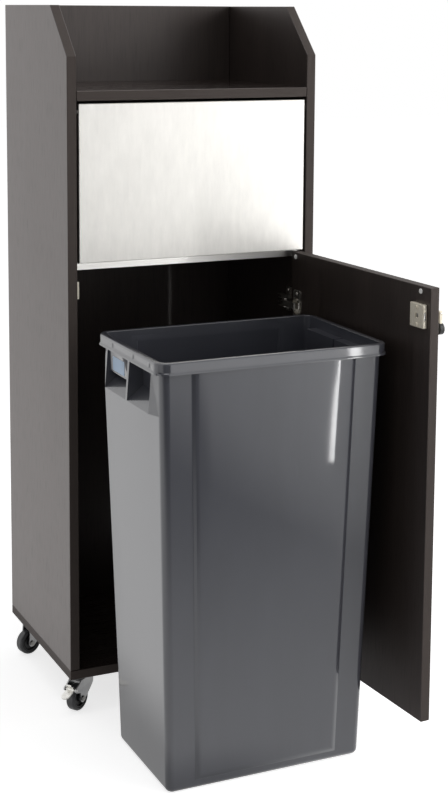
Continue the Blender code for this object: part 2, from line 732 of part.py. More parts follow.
def tapered_mesh(name, foot, top, low, high, corner, foot_corner, steps):
    # Upright block with half sizes at its foot and top and rounded corners
    bm = bmesh.new()
    bmesh.ops.create_cube(bm, size=2.0)
    for vert in bm.verts:
        half = top if vert.co.z > 0.0 else foot
        vert.co = (vert.co.x * half[0], vert.co.y * half[1], high if vert.co.z > 0.0 else low)
    middle = (low + high) / 2.0
    upright = [edge for edge in bm.edges if len({vert.co.z > middle for vert in edge.verts}) == 2]
    bmesh.ops.bevel(bm, geom=upright, offset=corner, segments=steps, profile=0.5, affect="EDGES")
    if foot_corner:
        bottom = [edge for edge in bm.edges if max(vert.co.z for vert in edge.verts) < low + 0.000001]
        bmesh.ops.bevel(bm, geom=bottom, offset=foot_corner, segments=3, profile=0.5, affect="EDGES")
    return to_mesh(name, bm)


def panel_mesh(name, wall_half, top, inset):
    # Raised field on each long face, with sloped borders, following the tapered wall
    bm = bmesh.new()
    for sign in (-1, 1):
        rings = []
        for proud, slope in ((-PANEL_BURIED, 0.0), (PANEL_PROUD, PANEL_SLOPE)):
            corners = []
            for height in (PANEL_LOW + inset + slope, top - inset - slope):
                half = wall_half(height, inset)
                across = half[0] - PANEL_BORDER - slope
                corners.append((across, sign * (half[1] + proud), height))
            ring = [(-x, y, z) for x, y, z in corners] + corners[::-1]
            rings.append([bm.verts.new(point) for point in ring])
        for ring in rings:
            bm.faces.new(ring)
        for index in range(4):
            following = (index + 1) % 4
            bm.faces.new((rings[0][index], rings[0][following], rings[1][following], rings[1][index]))
    bmesh.ops.recalc_face_normals(bm, faces=bm.faces)
    return to_mesh(name, bm)


def tub():
    place = Vector((TUB_OFFSET_X, TUB_Y, 0.0))
    top = (TUB_RIM_X - TUB_RIM_OUT, TUB_RIM_Y - TUB_RIM_OUT)
    foot = (top[0] - TUB_TAPER_LENGTH, top[1] - TUB_TAPER_DEPTH)
    rim_low = TUB_HEIGHT - TUB_RIM_HEIGHT
    body_top = TUB_HEIGHT - TUB_WALL / 2.0

    def wall_half(height, inset):
        share = height / TUB_HEIGHT
        return tuple(foot[i] + (top[i] - foot[i]) * share - inset for i in (0, 1))

    def body(name, inset, low, high, foot_corner):
        lower = wall_half(low, inset)
        upper = wall_half(high, inset)
        return tapered_mesh(name, lower, upper, low, high, TUB_CORNER - inset, foot_corner, 5)

    mesh = body("bin_tub", 0.0, 0.0, body_top, TUB_FOOT_CORNER)
    item = finish("bin_tub", mesh, TUB_PLASTIC, None, place)
    panels = panel_mesh("tub_panels", wall_half, rim_low - GRIP_BELOW_RIM, 0.0)
    combine(item, cutter("tub_panels", panels, None, place), "UNION")
    rim = (TUB_RIM_X, TUB_RIM_Y)
    corner = TUB_CORNER + TUB_RIM_OUT
    block = tapered_mesh("rim_block", rim, rim, rim_low, TUB_HEIGHT, corner, 0.0, 5)
    combine(item, cutter("rim_block", block, None, place), "UNION")
    inner_rim = (rim[0] - TUB_WALL, rim[1] - TUB_WALL)
    groove_top = TUB_HEIGHT - TUB_WALL
    corner -= TUB_WALL
    open_end = rim_low - EDGE
    mesh = tapered_mesh("rim_groove", inner_rim, inner_rim, open_end, groove_top, corner, 0.0, 5)
    groove = cutter("rim_groove", mesh, None, place)
    mesh = body("groove_core", -FIT, TUB_HEIGHT * 0.5, TUB_HEIGHT + 0.02, 0.0)
    plug = cutter("groove_core", mesh, None, place)
    combine(groove, plug)
    combine(item, groove)
    mesh = body("tub_hollow", TUB_WALL, TUB_WALL, TUB_HEIGHT + 0.02, TUB_FOOT_CORNER - TUB_WALL)
    hollow = cutter("tub_hollow", mesh, None, place)
    roof = rim_low - GRIP_BELOW_RIM
    panels = panel_mesh("hollow_panels", wall_half, roof, TUB_WALL)
    combine(hollow, cutter("hollow_panels", panels, None, place), "UNION")
    floor = roof - GRIP_HEIGHT
    back = wall_half(roof, GRIP_DEPTH)[0]
    outside = TUB_RIM_X + 0.02
    bulges = []
    grips = []
    for end in (-1, 1):
        for side in (-1, 1):
            y = side * (GRIP_RIB + GRIP_WIDTH) / 2.0
            half = GRIP_WIDTH / 2.0
            ends = sorted((end * back, end * outside))
            grips.append(((ends[0], y - half, floor), (ends[1], y + half, roof)))
        ends = sorted((end * (back - TUB_WALL), end * outside))
        half = GRIP_RIB / 2.0 + GRIP_WIDTH + TUB_WALL
        bulges.append(((ends[0], -half, floor - TUB_WALL), (ends[1], half, roof + TUB_WALL)))
    combine(hollow, cutter("grip_bulges", box_mesh("grip_bulges", bulges), None, place))
    combine(item, hollow)
    combine(item, cutter("grips", box_mesh("grips", grips), None, place))
    label(place, wall_half, roof)


def label(place, wall_half, roof):
    # Blank plate over the upper part of one grip, along the sloped end wall
    lean = math.atan(TUB_TAPER_LENGTH / TUB_HEIGHT)
    height = roof - LABEL_HEIGHT / 2.0
    out = wall_half(height, 0.0)[0] + (GAP + LABEL_THICK / 2.0) / math.cos(lean)
    long = (GRIP_WIDTH + GRIP_RIB) / 2.0
    half = Vector((LABEL_THICK / 2.0, long - GAP, LABEL_HEIGHT / 2.0 - 0.001))
    centre = place + Vector((-out, long, height))
    mesh = box_mesh("label_plate", [(-half, half)])
    bevel(finish("label_plate", mesh, LABEL_PLASTIC, None, centre, (0.0, -lean, 0.0)), 0.0004)


def castor(corner, sign_x, sign_y):
    across = sign_x * (CABINET_WIDTH / 2.0 - CASTOR_INSET)
    along = sign_y * (CABINET_DEPTH / 2.0 - CASTOR_INSET)
    centre = Vector((across, along, 0.0))
    swivel = empty("castor_swivel_" + corner, centre, CASTOR_TURNS[corner])
    braked = sign_y < 0
    castor_plate(corner, centre)
    castor_fork(corner, swivel, braked)
    castor_wheel(corner, swivel)
    if braked:
        brake_pedal(corner, swivel)


def castor_levels():
    plate_top = CASTOR_HEIGHT - GAP
    race_top = plate_top - CASTOR_PLATE_THICK
    race_low = race_top - RACE_THICK
    crown_race = race_low - GAP
    crown_top = crown_race - CROWN_RACE_THICK
    crown_low = crown_top - FORK_SHEET
    return plate_top, race_top, race_low, crown_race, crown_top, crown_low


def castor_plate(corner, centre):
    # Square plate, upper ball race and kingpin in one piece
    plate_top, race_top, race_low, _, _, crown_low = castor_levels()
    name = "castor_plate_" + corner
    points = rounded_outline(CASTOR_PLATE, CASTOR_PLATE, CASTOR_PLATE_CORNER, 3)
    place = centre + Vector((0.0, 0.0, (plate_top + race_top) / 2.0))
    item = finish(name, outline_mesh(name, points, CASTOR_PLATE_THICK), ZINC, None, place)
    head_top = crown_low - GAP
    head_low = head_top - KINGPIN_HEAD_THICK
    buried = race_top + CASTOR_PLATE_THICK / 2.0
    profile = [(0.0, buried), (RACE_RADIUS, buried), (RACE_RADIUS, race_low), (KINGPIN_RADIUS, race_low)]
    profile += [(KINGPIN_RADIUS, head_top), (KINGPIN_HEAD_RADIUS, head_top)]
    profile += [(KINGPIN_HEAD_RADIUS, head_low), (0.0, head_low)]
    pin = turned("kingpin_" + corner, profile, None, None, centre, (0.0, 0.0, 0.0), False, SMALL_STEPS)
    PARTS.objects.unlink(pin)
    CUTTERS.objects.link(pin)
    combine(item, pin, "UNION")


def castor_fork(corner, swivel, braked):
    _, _, _, crown_race, crown_top, crown_low = castor_levels()
    name = "castor_fork_" + corner
    axle = (-CASTOR_TRAIL, WHEEL_RADIUS)
    boss = AXLE_HEAD_RADIUS + FORK_BOSS_WALL
    points = [(FORK_FRONT, crown_top), (-FORK_REAR, crown_top)]
    if braked:
        ear = (axle[0] - PEDAL_BACK, axle[1] + PEDAL_RISE)
        points += arc(ear, PEDAL_BOSS_RADIUS + 0.001, 75.0, 255.0, 8)
    points += arc(axle, boss, 170.0, 340.0, 10)
    points += [(FORK_FRONT, crown_low - FORK_LIP)]
    width = 2.0 * (FORK_HALF + FORK_SHEET)
    item = finish(name, outline_mesh(name, points, width, True), ZINC, swivel, (0.0, 0.0, 0.0))
    low = (-0.2, -FORK_HALF, -0.1)
    high = (0.2, FORK_HALF, crown_low)
    combine(item, box_cutter("fork_gap_" + corner, low, high, swivel))
    thick = crown_race - crown_low
    place = (0.0, 0.0, crown_low + thick / 2.0)
    disc = rod_cutter("crown_race_" + corner, RACE_RADIUS, thick, "Z", place, swivel)
    combine(item, disc, "UNION")
    hole = KINGPIN_RADIUS + FIT
    combine(item, rod_cutter("kingpin_hole_" + corner, hole, 0.06, "Z", (0.0, 0.0, crown_low), swivel))
    place = (axle[0], 0.0, axle[1])
    combine(item, rod_cutter("axle_hole_" + corner, AXLE_RADIUS + FIT, 0.1, "Y", place, swivel))
    if braked:
        place = (ear[0], 0.0, ear[1])
        hole = PEDAL_PIN_RADIUS + FIT
        combine(item, rod_cutter("pedal_hole_" + corner, hole, 0.1, "Y", place, swivel, 12))


def castor_wheel(corner, swivel):
    place = (-CASTOR_TRAIL, 0.0, WHEEL_RADIUS)
    turn = (math.pi / 2.0, 0.0, 0.0)
    head = FORK_HALF + FORK_SHEET + FIT
    end = head + AXLE_HEAD_THICK
    profile = [(0.0, end), (AXLE_HEAD_RADIUS, end), (AXLE_HEAD_RADIUS, head), (AXLE_RADIUS, head)]
    profile += [(AXLE_RADIUS, -head), (AXLE_HEAD_RADIUS, -head), (AXLE_HEAD_RADIUS, -end), (0.0, -end)]
    turned("castor_axle_" + corner, profile, BRIGHT, swivel, place, turn, False, SMALL_STEPS)
    bore = AXLE_RADIUS + FIT
    rim = WHEEL_RADIUS - TYRE_THICK - FIT
    half = HUB_WIDTH / 2.0
    web = HUB_WEB / 2.0
    boss = FORK_HALF - FIT
    side = [(bore, boss), (HUB_BOSS_RADIUS, boss), (HUB_BOSS_RADIUS + EDGE, web)]
    side += [(rim - HUB_RIM, web), (rim - HUB_RIM + EDGE, half), (rim, half)]
    profile = side + [(radius, -height) for radius, height in reversed(side)]
    turned("castor_hub_" + corner, profile, BLACK_PLASTIC, swivel, place, turn, True)
    inner = WHEEL_RADIUS - TYRE_THICK
    wide = TYRE_WIDTH / 2.0
    tread = arc((WHEEL_RADIUS - TYRE_ROUND, wide - TYRE_ROUND), TYRE_ROUND, 90.0, 0.0, 3)
    profile = [(inner, wide)] + tread
    profile += [(radius, -height) for radius, height in reversed(profile)]
    turned("castor_tyre_" + corner, profile, TYRE_RUBBER, swivel, place, turn, True)


def brake_pedal(corner, swivel):
    # Rocker on a pin through the fork's ears, with a long toe and a short heel
    name = "brake_pedal_" + corner
    pivot = Vector((-CASTOR_TRAIL - PEDAL_BACK, 0.0, WHEEL_RADIUS + PEDAL_RISE))
    half = PEDAL_WIDTH / 2.0
    mesh = rod_mesh(name, PEDAL_BOSS_RADIUS, PEDAL_WIDTH, "Y", 16)
    item = finish(name, mesh, BRIGHT, swivel, pivot)
    sheet = PEDAL_SHEET / 2.0
    arms = (("toe", PEDAL_TOE, PEDAL_TOE_FALL), ("heel", PEDAL_HEEL, -PEDAL_HEEL_RISE))
    for label_name, length, fall in arms:
        mesh = box_mesh(label_name, [((-length, -half, -sheet), (0.0, half, sheet))])
        turn = (0.0, -fall, 0.0)
        combine(item, cutter(label_name + "_" + corner, mesh, swivel, pivot, turn), "UNION")
    pin_length = 2.0 * (FORK_HALF + FORK_SHEET)
    pin = rod_cutter("pedal_pin_" + corner, PEDAL_PIN_RADIUS, pin_length, "Y", pivot, swivel, 12)
    combine(item, pin, "UNION")


carcass()
stop_rail()
flap()
door()
strike()
tub()
for corner_name, across, along in (
    ("front_left", -1, -1),
    ("front_right", 1, -1),
    ("rear_left", -1, 1),
    ("rear_right", 1, 1),
):
    castor(corner_name, across, along)
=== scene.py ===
import math

import bmesh
import bpy
from mathutils import Matrix, Vector


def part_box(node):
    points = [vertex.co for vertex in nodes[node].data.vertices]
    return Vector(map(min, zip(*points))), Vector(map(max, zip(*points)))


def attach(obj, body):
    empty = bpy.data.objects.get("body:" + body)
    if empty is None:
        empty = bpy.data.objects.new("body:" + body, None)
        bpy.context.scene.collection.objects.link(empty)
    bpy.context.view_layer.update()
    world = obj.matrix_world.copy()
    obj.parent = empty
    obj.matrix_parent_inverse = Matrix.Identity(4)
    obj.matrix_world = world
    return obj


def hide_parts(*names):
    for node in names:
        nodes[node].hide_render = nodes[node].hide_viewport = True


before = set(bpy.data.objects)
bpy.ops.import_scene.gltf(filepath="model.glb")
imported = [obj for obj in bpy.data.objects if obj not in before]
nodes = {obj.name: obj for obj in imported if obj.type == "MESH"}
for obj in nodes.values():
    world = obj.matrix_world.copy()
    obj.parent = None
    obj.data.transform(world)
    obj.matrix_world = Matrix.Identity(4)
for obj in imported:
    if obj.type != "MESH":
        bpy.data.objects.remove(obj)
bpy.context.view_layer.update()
print("frame loaded:", len(nodes), "nodes")


# small modelling kit

def clearSelection():
    active = bpy.context.object
    if active and active.mode != "OBJECT":
        bpy.ops.object.mode_set(mode="OBJECT")
    bpy.ops.object.select_all(action="DESELECT")


def makeActive(piece):
    clearSelection()
    piece.select_set(True)
    bpy.context.view_layer.objects.active = piece


def named(name):
    piece = bpy.context.object
    piece.name = name
    return piece


def discard(piece):
    bpy.data.objects.remove(piece, do_unlink=True)


def dress(piece, *finishes):
    piece.data.materials.clear()
    for finish in finishes:
        piece.data.materials.append(finish)


def applyPlace(piece):
    makeActive(piece)
    bpy.ops.object.transform_apply(location=True, rotation=True, scale=True)
    return piece


def startBox(name, low, high):
    clearSelection()
    low, high = Vector(low), Vector(high)
    bpy.ops.mesh.primitive_cube_add(size=1.0, location=(low + high) / 2.0)
    piece = named(name)
    piece.scale = high - low
    return applyPlace(piece)


def startRod(name, radius, low, high, steps=48):
    # upright rod on the Z axis between two heights
    clearSelection()
    middle = (0.0, 0.0, (low + high) / 2.0)
    bpy.ops.mesh.primitive_cylinder_add(vertices=steps, radius=radius, depth=high - low, location=middle)
    return applyPlace(named(name))


def openEdit(piece, kind):
    if bpy.context.object is not piece or piece.mode != "EDIT":
        makeActive(piece)
        bpy.ops.object.mode_set(mode="EDIT")
    bpy.ops.mesh.select_mode(type=kind)


def pick(piece, kind, test):
    # picks the faces, edges or points that pass the test
    openEdit(piece, kind)
    bpy.ops.mesh.select_all(action="DESELECT")
    work = bmesh.from_edit_mesh(piece.data)
    work.normal_update()
    groups = {"FACE": work.faces, "EDGE": work.edges, "VERT": work.verts}
    chosen = [part for part in groups[kind] if test(part)]
    for part in chosen:
        part.select_set(True)
    work.select_flush_mode()
    bmesh.update_edit_mesh(piece.data)


def extrudeBy(move):
    bpy.ops.mesh.extrude_region_move(TRANSFORM_OT_translate={"value": move})


def growFrom(centre, factors):
    bpy.ops.transform.resize(value=factors, center_override=centre)


def shift(move):
    bpy.ops.transform.translate(value=move)


def closeEdit():
    bpy.ops.object.mode_set(mode="OBJECT")


def tidyNormals(piece, merge=0.00001):
    openEdit(piece, "VERT")
    bpy.ops.mesh.select_all(action="SELECT")
    bpy.ops.mesh.remove_doubles(threshold=merge)
    bpy.ops.mesh.normals_make_consistent(inside=False)
    closeEdit()


def applyModifier(piece, kind, **settings):
    makeActive(piece)
    modifier = piece.modifiers.new(kind.lower(), kind)
    for key, value in settings.items():
        setattr(modifier, key, value)
    bpy.ops.object.modifier_apply(modifier=modifier.name)


def roundEdges(piece, width, segments=2, angle=40.0):
    applyModifier(
        piece,
        "BEVEL",
        width=width,
        segments=segments,
        limit_method="ANGLE",
        angle_limit=math.radians(angle),
        use_clamp_overlap=True,
    )


def cutAway(piece, tool, operation="DIFFERENCE"):
    applyModifier(piece, "BOOLEAN", operation=operation, solver="EXACT", object=tool)
    discard(tool)


def joinTo(piece, others):
    makeActive(piece)
    for other in others:
        other.select_set(True)
    bpy.ops.object.join()
    return piece


def copyOf(piece, name):
    makeActive(piece)
    bpy.ops.object.duplicate(linked=False)
    return named(name)


def moved(*place):
    return Matrix.Translation(place)


def spun(degrees, axis):
    return Matrix.Rotation(math.radians(degrees), 4, axis)


def movePiece(piece, matrix):
    piece.matrix_world = matrix @ piece.matrix_world
    return applyPlace(piece)


def smoothShade(piece, angle=40.0, weighted=True):
    makeActive(piece)
    bpy.ops.object.shade_smooth_by_angle(angle=math.radians(angle))
    if weighted:
        applyModifier(piece, "WEIGHTED_NORMAL", keep_sharp=True, weight=60)


def plateFrom(name, outline, depth, axis):
    # flat outline made thick: axis Y takes (x, z) points, axis X takes (y, z), axis Z takes (x, y)
    clearSelection()
    bpy.ops.mesh.primitive_circle_add(vertices=len(outline), radius=1.0, fill_type="NGON")
    piece = named(name)
    for vert, (first, second) in zip(piece.data.vertices, outline):
        place = {"X": (depth[0], first, second), "Y": (first, depth[0], second), "Z": (first, second, depth[0])}
        vert.co = place[axis]
    openEdit(piece, "FACE")
    bpy.ops.mesh.select_all(action="SELECT")
    span = depth[1] - depth[0]
    extrudeBy({"X": (span, 0, 0), "Y": (0, span, 0), "Z": (0, 0, span)}[axis])
    closeEdit()
    tidyNormals(piece)
    return piece


def lathe(name, profile, steps=64):
    # closed outline of (radius, height) points turned about the Z axis
    clearSelection()
    bpy.ops.mesh.primitive_circle_add(vertices=len(profile), radius=1.0, fill_type="NOTHING")
    piece = named(name)
    for vert, (radius, height) in zip(piece.data.vertices, profile):
        vert.co = (radius, 0.0, height)
    openEdit(piece, "VERT")
    bpy.ops.mesh.select_all(action="SELECT")
    bpy.ops.mesh.spin(steps=steps, angle=math.tau, center=(0, 0, 0), axis=(0, 0, 1))
    closeEdit()
    tidyNormals(piece)
    return piece


def arcPoints(centre, radius, first, last, count):
    points = []
    for index in range(count + 1):
        angle = math.radians(first + (last - first) * index / count)
        points.append((centre[0] + radius * math.cos(angle), centre[1] + radius * math.sin(angle)))
    return points


def settle(piece, body, finish, replaced=()):
    clearSelection()
    if finish:
        dress(piece, finish)
    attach(piece, body)
    for node in replaced:
        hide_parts(node)
    return piece


# shader writing

class Wire:
    def __init__(self, sheet, socket):
        self.sheet = sheet
        self.socket = socket

    def maths(self, operation, other, flipped=False):
        pair = (other, self) if flipped else (self, other)
        return self.sheet.add("ShaderNodeMath", {"operation": operation}, {0: pair[0], 1: pair[1]})

    def __add__(self, other):
        return self.maths("ADD", other)

    def __radd__(self, other):
        return self.maths("ADD", other, True)

    def __sub__(self, other):
        return self.maths("SUBTRACT", other)

    def __rsub__(self, other):
        return self.maths("SUBTRACT", other, True)

    def __mul__(self, other):
        return self.maths("MULTIPLY", other)

    def __gt__(self, other):
        return self.maths("GREATER_THAN", other)

    def size(self):
        return self.sheet.add("ShaderNodeMath", {"operation": "ABSOLUTE"}, {0: self})


class Sheet:
    # the node sheet of one finish
    def __init__(self, name, tree=None):
        if tree is None:
            self.material = bpy.data.materials.new(name)
            self.material.use_nodes = True
            tree = self.material.node_tree
        self.tree = tree
        self.shader = tree.nodes.get("Principled BSDF")

    def add(self, kind, settings=None, inputs=None, out=0):
        node = self.tree.nodes.new(kind)
        for key, value in (settings or {}).items():
            if key == "stops":
                while len(node.color_ramp.elements) < len(value):
                    node.color_ramp.elements.new(0.5)
                for element, (place, level) in zip(node.color_ramp.elements, value):
                    element.position = place
                    element.color = (level, level, level, 1.0)
            else:
                setattr(node, key, value)
        for key, value in (inputs or {}).items():
            self.feed(node.inputs[key], value)
        return Wire(self, node.outputs[out])

    def feed(self, socket, value):
        if isinstance(value, Wire):
            self.tree.links.new(value.socket, socket)
        else:
            socket.default_value = value

    def set(self, name, value):
        self.feed(self.shader.inputs[name], value)

    def coords(self, scale=(1.0, 1.0, 1.0), turn=(0.0, 0.0, 0.0)):
        place = self.add("ShaderNodeTexCoord", None, None, "Object")
        return self.add("ShaderNodeMapping", None, {"Vector": place, "Scale": scale, "Rotation": turn})

    def facing(self, axis):
        normal = self.add("ShaderNodeTexCoord", None, None, "Normal")
        return self.add("ShaderNodeSeparateXYZ", None, {0: normal}, axis)

    def ray(self, kind):
        return self.add("ShaderNodeLightPath", None, None, "Is " + kind + " Ray")

    def axis(self, index):
        return self.add("ShaderNodeSeparateXYZ", None, {0: self.coords()}, index)

    def span(self, value, low, high, first, last):
        inputs = {0: value, 1: low, 2: high, 3: first, 4: last}
        return self.add("ShaderNodeMapRange", {"interpolation_type": "SMOOTHSTEP"}, inputs)

    def noise(self, vector, scale=1.0, detail=4.0, roughness=0.55, distortion=0.0):
        inputs = {"Vector": vector, "Scale": scale, "Detail": detail, "Roughness": roughness, "Distortion": distortion}
        return self.add("ShaderNodeTexNoise", None, inputs)

    def ramp(self, value, stops):
        return self.add("ShaderNodeValToRGB", {"stops": stops}, {"Fac": value})

    def mix(self, factor, first, second):
        return self.add("ShaderNodeMix", {"data_type": "RGBA"}, {0: factor, 6: first, 7: second}, 2)

    def bump(self, height, strength, distance):
        inputs = {"Height": height, "Strength": strength, "Distance": distance}
        self.set("Normal", self.add("ShaderNodeBump", None, inputs))


def rgb(red, green, blue):
    return (red, green, blue, 1.0)


def shaded(colour, factor, lift=0.0):
    return rgb(*(min(1.0, part * factor + lift) for part in colour[:3]))


def drawn(across, along, axis):
    # noise scale drawn out along one axis
    scale = [across] * 3
    scale[axis] = along
    return scale


# finishes

wengeSpec = {
    "dark": rgb(0.0140, 0.0115, 0.0103),
    "light": rgb(0.0290, 0.0230, 0.0202),
    "edge": rgb(0.0290, 0.0225, 0.0195),
    "rubbedEdge": rgb(0.040, 0.031, 0.0265),
    "pore": rgb(0.006, 0.005, 0.0045),
    "streaks": (150.0, 3.2),
    "bands": (14.0, 0.9),
    "pores": (620.0, 26.0),
    "edgeSheen": 0.58,
    "tint": rgb(1.0, 0.90, 0.87),
    "skin": 0.50,
}


def wengeFinish(name, faceAxis, grainAxis, sheen=0.36, skinSheen=0.30):
    # dark printed wood board: long streaks, short pores, plain edge band
    spec = wengeSpec
    sheet = Sheet(name)
    streaks = sheet.noise(sheet.coords(drawn(*spec["streaks"], grainAxis)), 1.0, 5.0, 0.62, 0.35)
    bands = sheet.noise(sheet.coords(drawn(*spec["bands"], grainAxis)), 1.0, 3.0, 0.5, 0.8)
    specks = sheet.noise(sheet.coords(drawn(*spec["pores"], grainAxis)), 1.0, 2.0, 0.5)
    pores = sheet.ramp(specks, ((0.54, 0.0), (0.66, 1.0)))
    grain = sheet.ramp(streaks * 0.72 + bands * 0.40, ((0.38, 0.0), (0.78, 1.0)))
    colour = sheet.mix(grain, spec["dark"], spec["light"])
    colour = sheet.mix(pores * 0.55, colour, spec["pore"])
    edges = (1.0 - sheet.facing(faceAxis).size()) > 0.35
    rubbed = sheet.noise(sheet.coords((38.0, 38.0, 38.0)), 1.0, 5.0, 0.6)
    band = sheet.mix(rubbed, spec["edge"], spec["rubbedEdge"])
    sheet.set("Base Color", sheet.mix(edges, colour, band))
    dust = sheet.noise(sheet.coords((5.0, 5.0, 5.0)), 1.0, 4.0, 0.6)
    rough = sheen + grain * 0.06 + pores * 0.10 + dust * 0.06
    sheet.set("Roughness", rough + edges * (spec["edgeSheen"] - sheen))
    sheet.set("Coat Weight", spec["skin"] - edges * spec["skin"])
    sheet.set("Coat Roughness", skinSheen)
    sheet.set("Coat Tint", spec["tint"])
    sheet.set("Specular Tint", spec["tint"])
    sheet.bump(grain * 0.5 - pores * 0.8, 0.10, 0.0004)
    return sheet.material


def brushedFinish(name, colour, roughness, streakAxis, streak, along, depth, paintedShadeTop=None):
    # metal drawn in one direction, with soft cloudy variation; a level top may take a dark colour as painted shade,
    # and more roughness
    sheet = Sheet(name)
    lines = sheet.noise(sheet.coords(drawn(streak, along, streakAxis)), 1.0, 4.0, 0.65)
    cloud = sheet.noise(sheet.coords((6.0, 6.0, 6.0)), 1.0, 4.0, 0.55)
    tone = sheet.ramp(lines * 0.55 + cloud * 0.45, ((0.30, 0.0), (0.72, 1.0)))
    base = sheet.mix(tone, shaded(colour, 0.82), colour)
    rough = roughness - 0.05 + lines * 0.10 + cloud * 0.06
    # painted shade: faces that point up are coloured dark in place of the shadow they lie in
    if paintedShadeTop:
        level = sheet.facing(2) > 0.7
        base = sheet.mix(level, base, paintedShadeTop)
        rough = rough + level * 0.35
    sheet.set("Base Color", base)
    sheet.set("Metallic", 1.0)
    sheet.set("Roughness", rough)
    sheet.bump(lines, depth, 0.0002)
    return sheet.material


def platedFinish(name, colour, roughness, stain, stainScale=120.0, metal=1.0):
    # plated sheet metal with a fine grain, dull patches and faint scratches
    sheet = Sheet(name)
    fine = sheet.noise(sheet.coords((900.0, 900.0, 900.0)), 1.0, 2.0, 0.5)
    patch = sheet.ramp(sheet.noise(sheet.coords((stainScale,) * 3), 1.0, 5.0, 0.6), ((0.42, 0.0), (0.70, 1.0)))
    scratch = sheet.noise(sheet.coords((2400.0, 160.0, 160.0), (0.3, 0.5, 0.7)), 1.0, 2.0, 0.5)
    sheet.set("Base Color", sheet.mix(patch * 0.6, colour, stain))
    sheet.set("Metallic", metal)
    sheet.set("Roughness", roughness + patch * 0.12 + fine * 0.06 + scratch * 0.05)
    sheet.bump(fine * 0.6 + scratch * 0.4, 0.05, 0.0001)
    return sheet.material


def mouldedFinish(name, colour, roughness, grainScale, grainDepth, scuff, wave=0.0, skin=0.0):
    # moulded plastic: faint flow clouds, fine grain, dull scuffs and pale rubbed marks
    sheet = Sheet(name)
    flow = sheet.noise(sheet.coords((9.0, 9.0, 3.0)), 1.0, 4.0, 0.55, 0.6)
    grain = sheet.noise(sheet.coords((grainScale,) * 3), 1.0, 2.0, 0.5)
    marks = sheet.ramp(sheet.noise(sheet.coords((46.0, 46.0, 7.0)), 1.0, 6.0, 0.7), ((0.60, 0.0), (0.78, 1.0)))
    base = sheet.mix(flow, shaded(colour, 0.84), shaded(colour, 1.22))
    pale = shaded(colour, 1.5, 0.01)
    sheet.set("Base Color", sheet.mix(marks * (0.35 * scuff), base, pale))
    sheet.set("Roughness", roughness + marks * (0.16 * scuff) + flow * 0.05)
    sheet.set("Coat Weight", skin - marks * (0.3 * skin))
    sheet.set("Coat Roughness", 0.045)
    swell = sheet.noise(sheet.coords((5.0, 5.0, 2.0)), 1.0, 1.0, 0.4)
    sheet.bump(grain * grainDepth + swell * wave, 0.25, 0.0006)
    return sheet.material


wengeSide = wengeFinish("wenge_upright_sides", 0, 2)
wengeBack = wengeFinish("wenge_upright_back", 1, 2)
wengeLevel = wengeFinish("wenge_level", 2, 0, 0.16, 0.10)
coreBoard = wengeFinish("flap_core_face", 1, 0)
flapSteel = brushedFinish("flap_brushed_steel", rgb(0.88, 0.863, 0.826), 0.44, 2, 70.0, 16.0, 0.02)
# painted shade: dark colour for the rail's level top, standing in for the shadow it lies in
railTopPaintedShade = rgb(0.045, 0.044, 0.042)
railSteel = brushedFinish("rail_brushed_steel", rgb(0.94, 0.925, 0.89), 0.30, 0, 420.0, 12.0, 0.03, railTopPaintedShade)
hingeNickel = platedFinish("hinge_nickel_plate", rgb(0.62, 0.60, 0.56), 0.26, rgb(0.40, 0.37, 0.32))
lockNickel = platedFinish("lock_nickel_plate", rgb(0.80, 0.75, 0.64), 0.42, rgb(0.60, 0.54, 0.43), 120.0, 0.72)
castorZinc = platedFinish("castor_zinc_plate", rgb(0.43, 0.43, 0.43), 0.24, rgb(0.31, 0.31, 0.32), 90.0)
axleSteel = platedFinish("axle_dull_steel", rgb(0.36, 0.355, 0.34), 0.36, rgb(0.22, 0.21, 0.20), 140.0)
brightSteel = platedFinish("bright_steel_plate", rgb(0.82, 0.81, 0.78), 0.18, rgb(0.62, 0.60, 0.56))
bushNylon = mouldedFinish("brown_nylon_moulding", rgb(0.030, 0.027, 0.025), 0.5, 900.0, 0.06, 0.3)
whiteNylon = mouldedFinish("white_nylon_moulding", rgb(0.74, 0.74, 0.72), 0.42, 900.0, 0.06, 0.3)
tubPlastic = mouldedFinish("tub_grey_moulding", rgb(0.052, 0.054, 0.066), 0.27, 1400.0, 0.02, 0.4, 0.4, 1.00)
blackPlastic = mouldedFinish("black_moulding", rgb(0.018, 0.018, 0.019), 0.38, 900.0, 0.10, 0.5)
labelCard = mouldedFinish("label_blank_card", rgb(0.42, 0.56, 0.74), 0.34, 700.0, 0.03, 0.4)
tyreRubber = mouldedFinish("tyre_grey_rubber", rgb(0.034, 0.035, 0.038), 0.36, 800.0, 0.18, 1.0, 0.0, 0.35)

nodeFinishes = {
    wengeSide: ["side_panel_left", "side_panel_right", "door_panel"],
    wengeBack: ["back_panel"],
    wengeLevel: ["base_board", "tray_shelf"],
    coreBoard: ["flap_core"],
    flapSteel: ["flap_front"],
    railSteel: ["stop_rail"],
    hingeNickel: ["hinge_plate", "hinge_arm", "hinge_cup", "hinge_link"],
    lockNickel: ["strike_plate", "lock_escutcheon", "lock_plug"],
    brightSteel: ["lock_barrel", "lock_bolt", "key_shank", "flap_pin", "castor_axle"],
    castorZinc: ["castor_plate", "castor_fork"],
    bushNylon: ["flap_bush"],
    whiteNylon: ["bumper"],
    blackPlastic: ["castor_hub", "key_bow"],
    tyreRubber: ["castor_tyre"],
    tubPlastic: ["bin_tub", "label_plate"],
}
for finish, starts in nodeFinishes.items():
    for name, node in nodes.items():
        if any(name.startswith(start) for start in starts):
            for holder in node.material_slots:
                holder.material = finish
print("board, metal and plastic finishes made")


# camera, stage and light

cameraSpec = {
    "place": (-1.173396, -2.871688, 1.320050),
    "yaw": 24.65470,
    "pitch": -7.51954,
    "roll": 0.36099,
    "focalPixels": 1583.96,
    "centreRow": 218.331,
    "frameHeight": 800,
    "sensor": 36.0,
    "clip": 60.0,
}


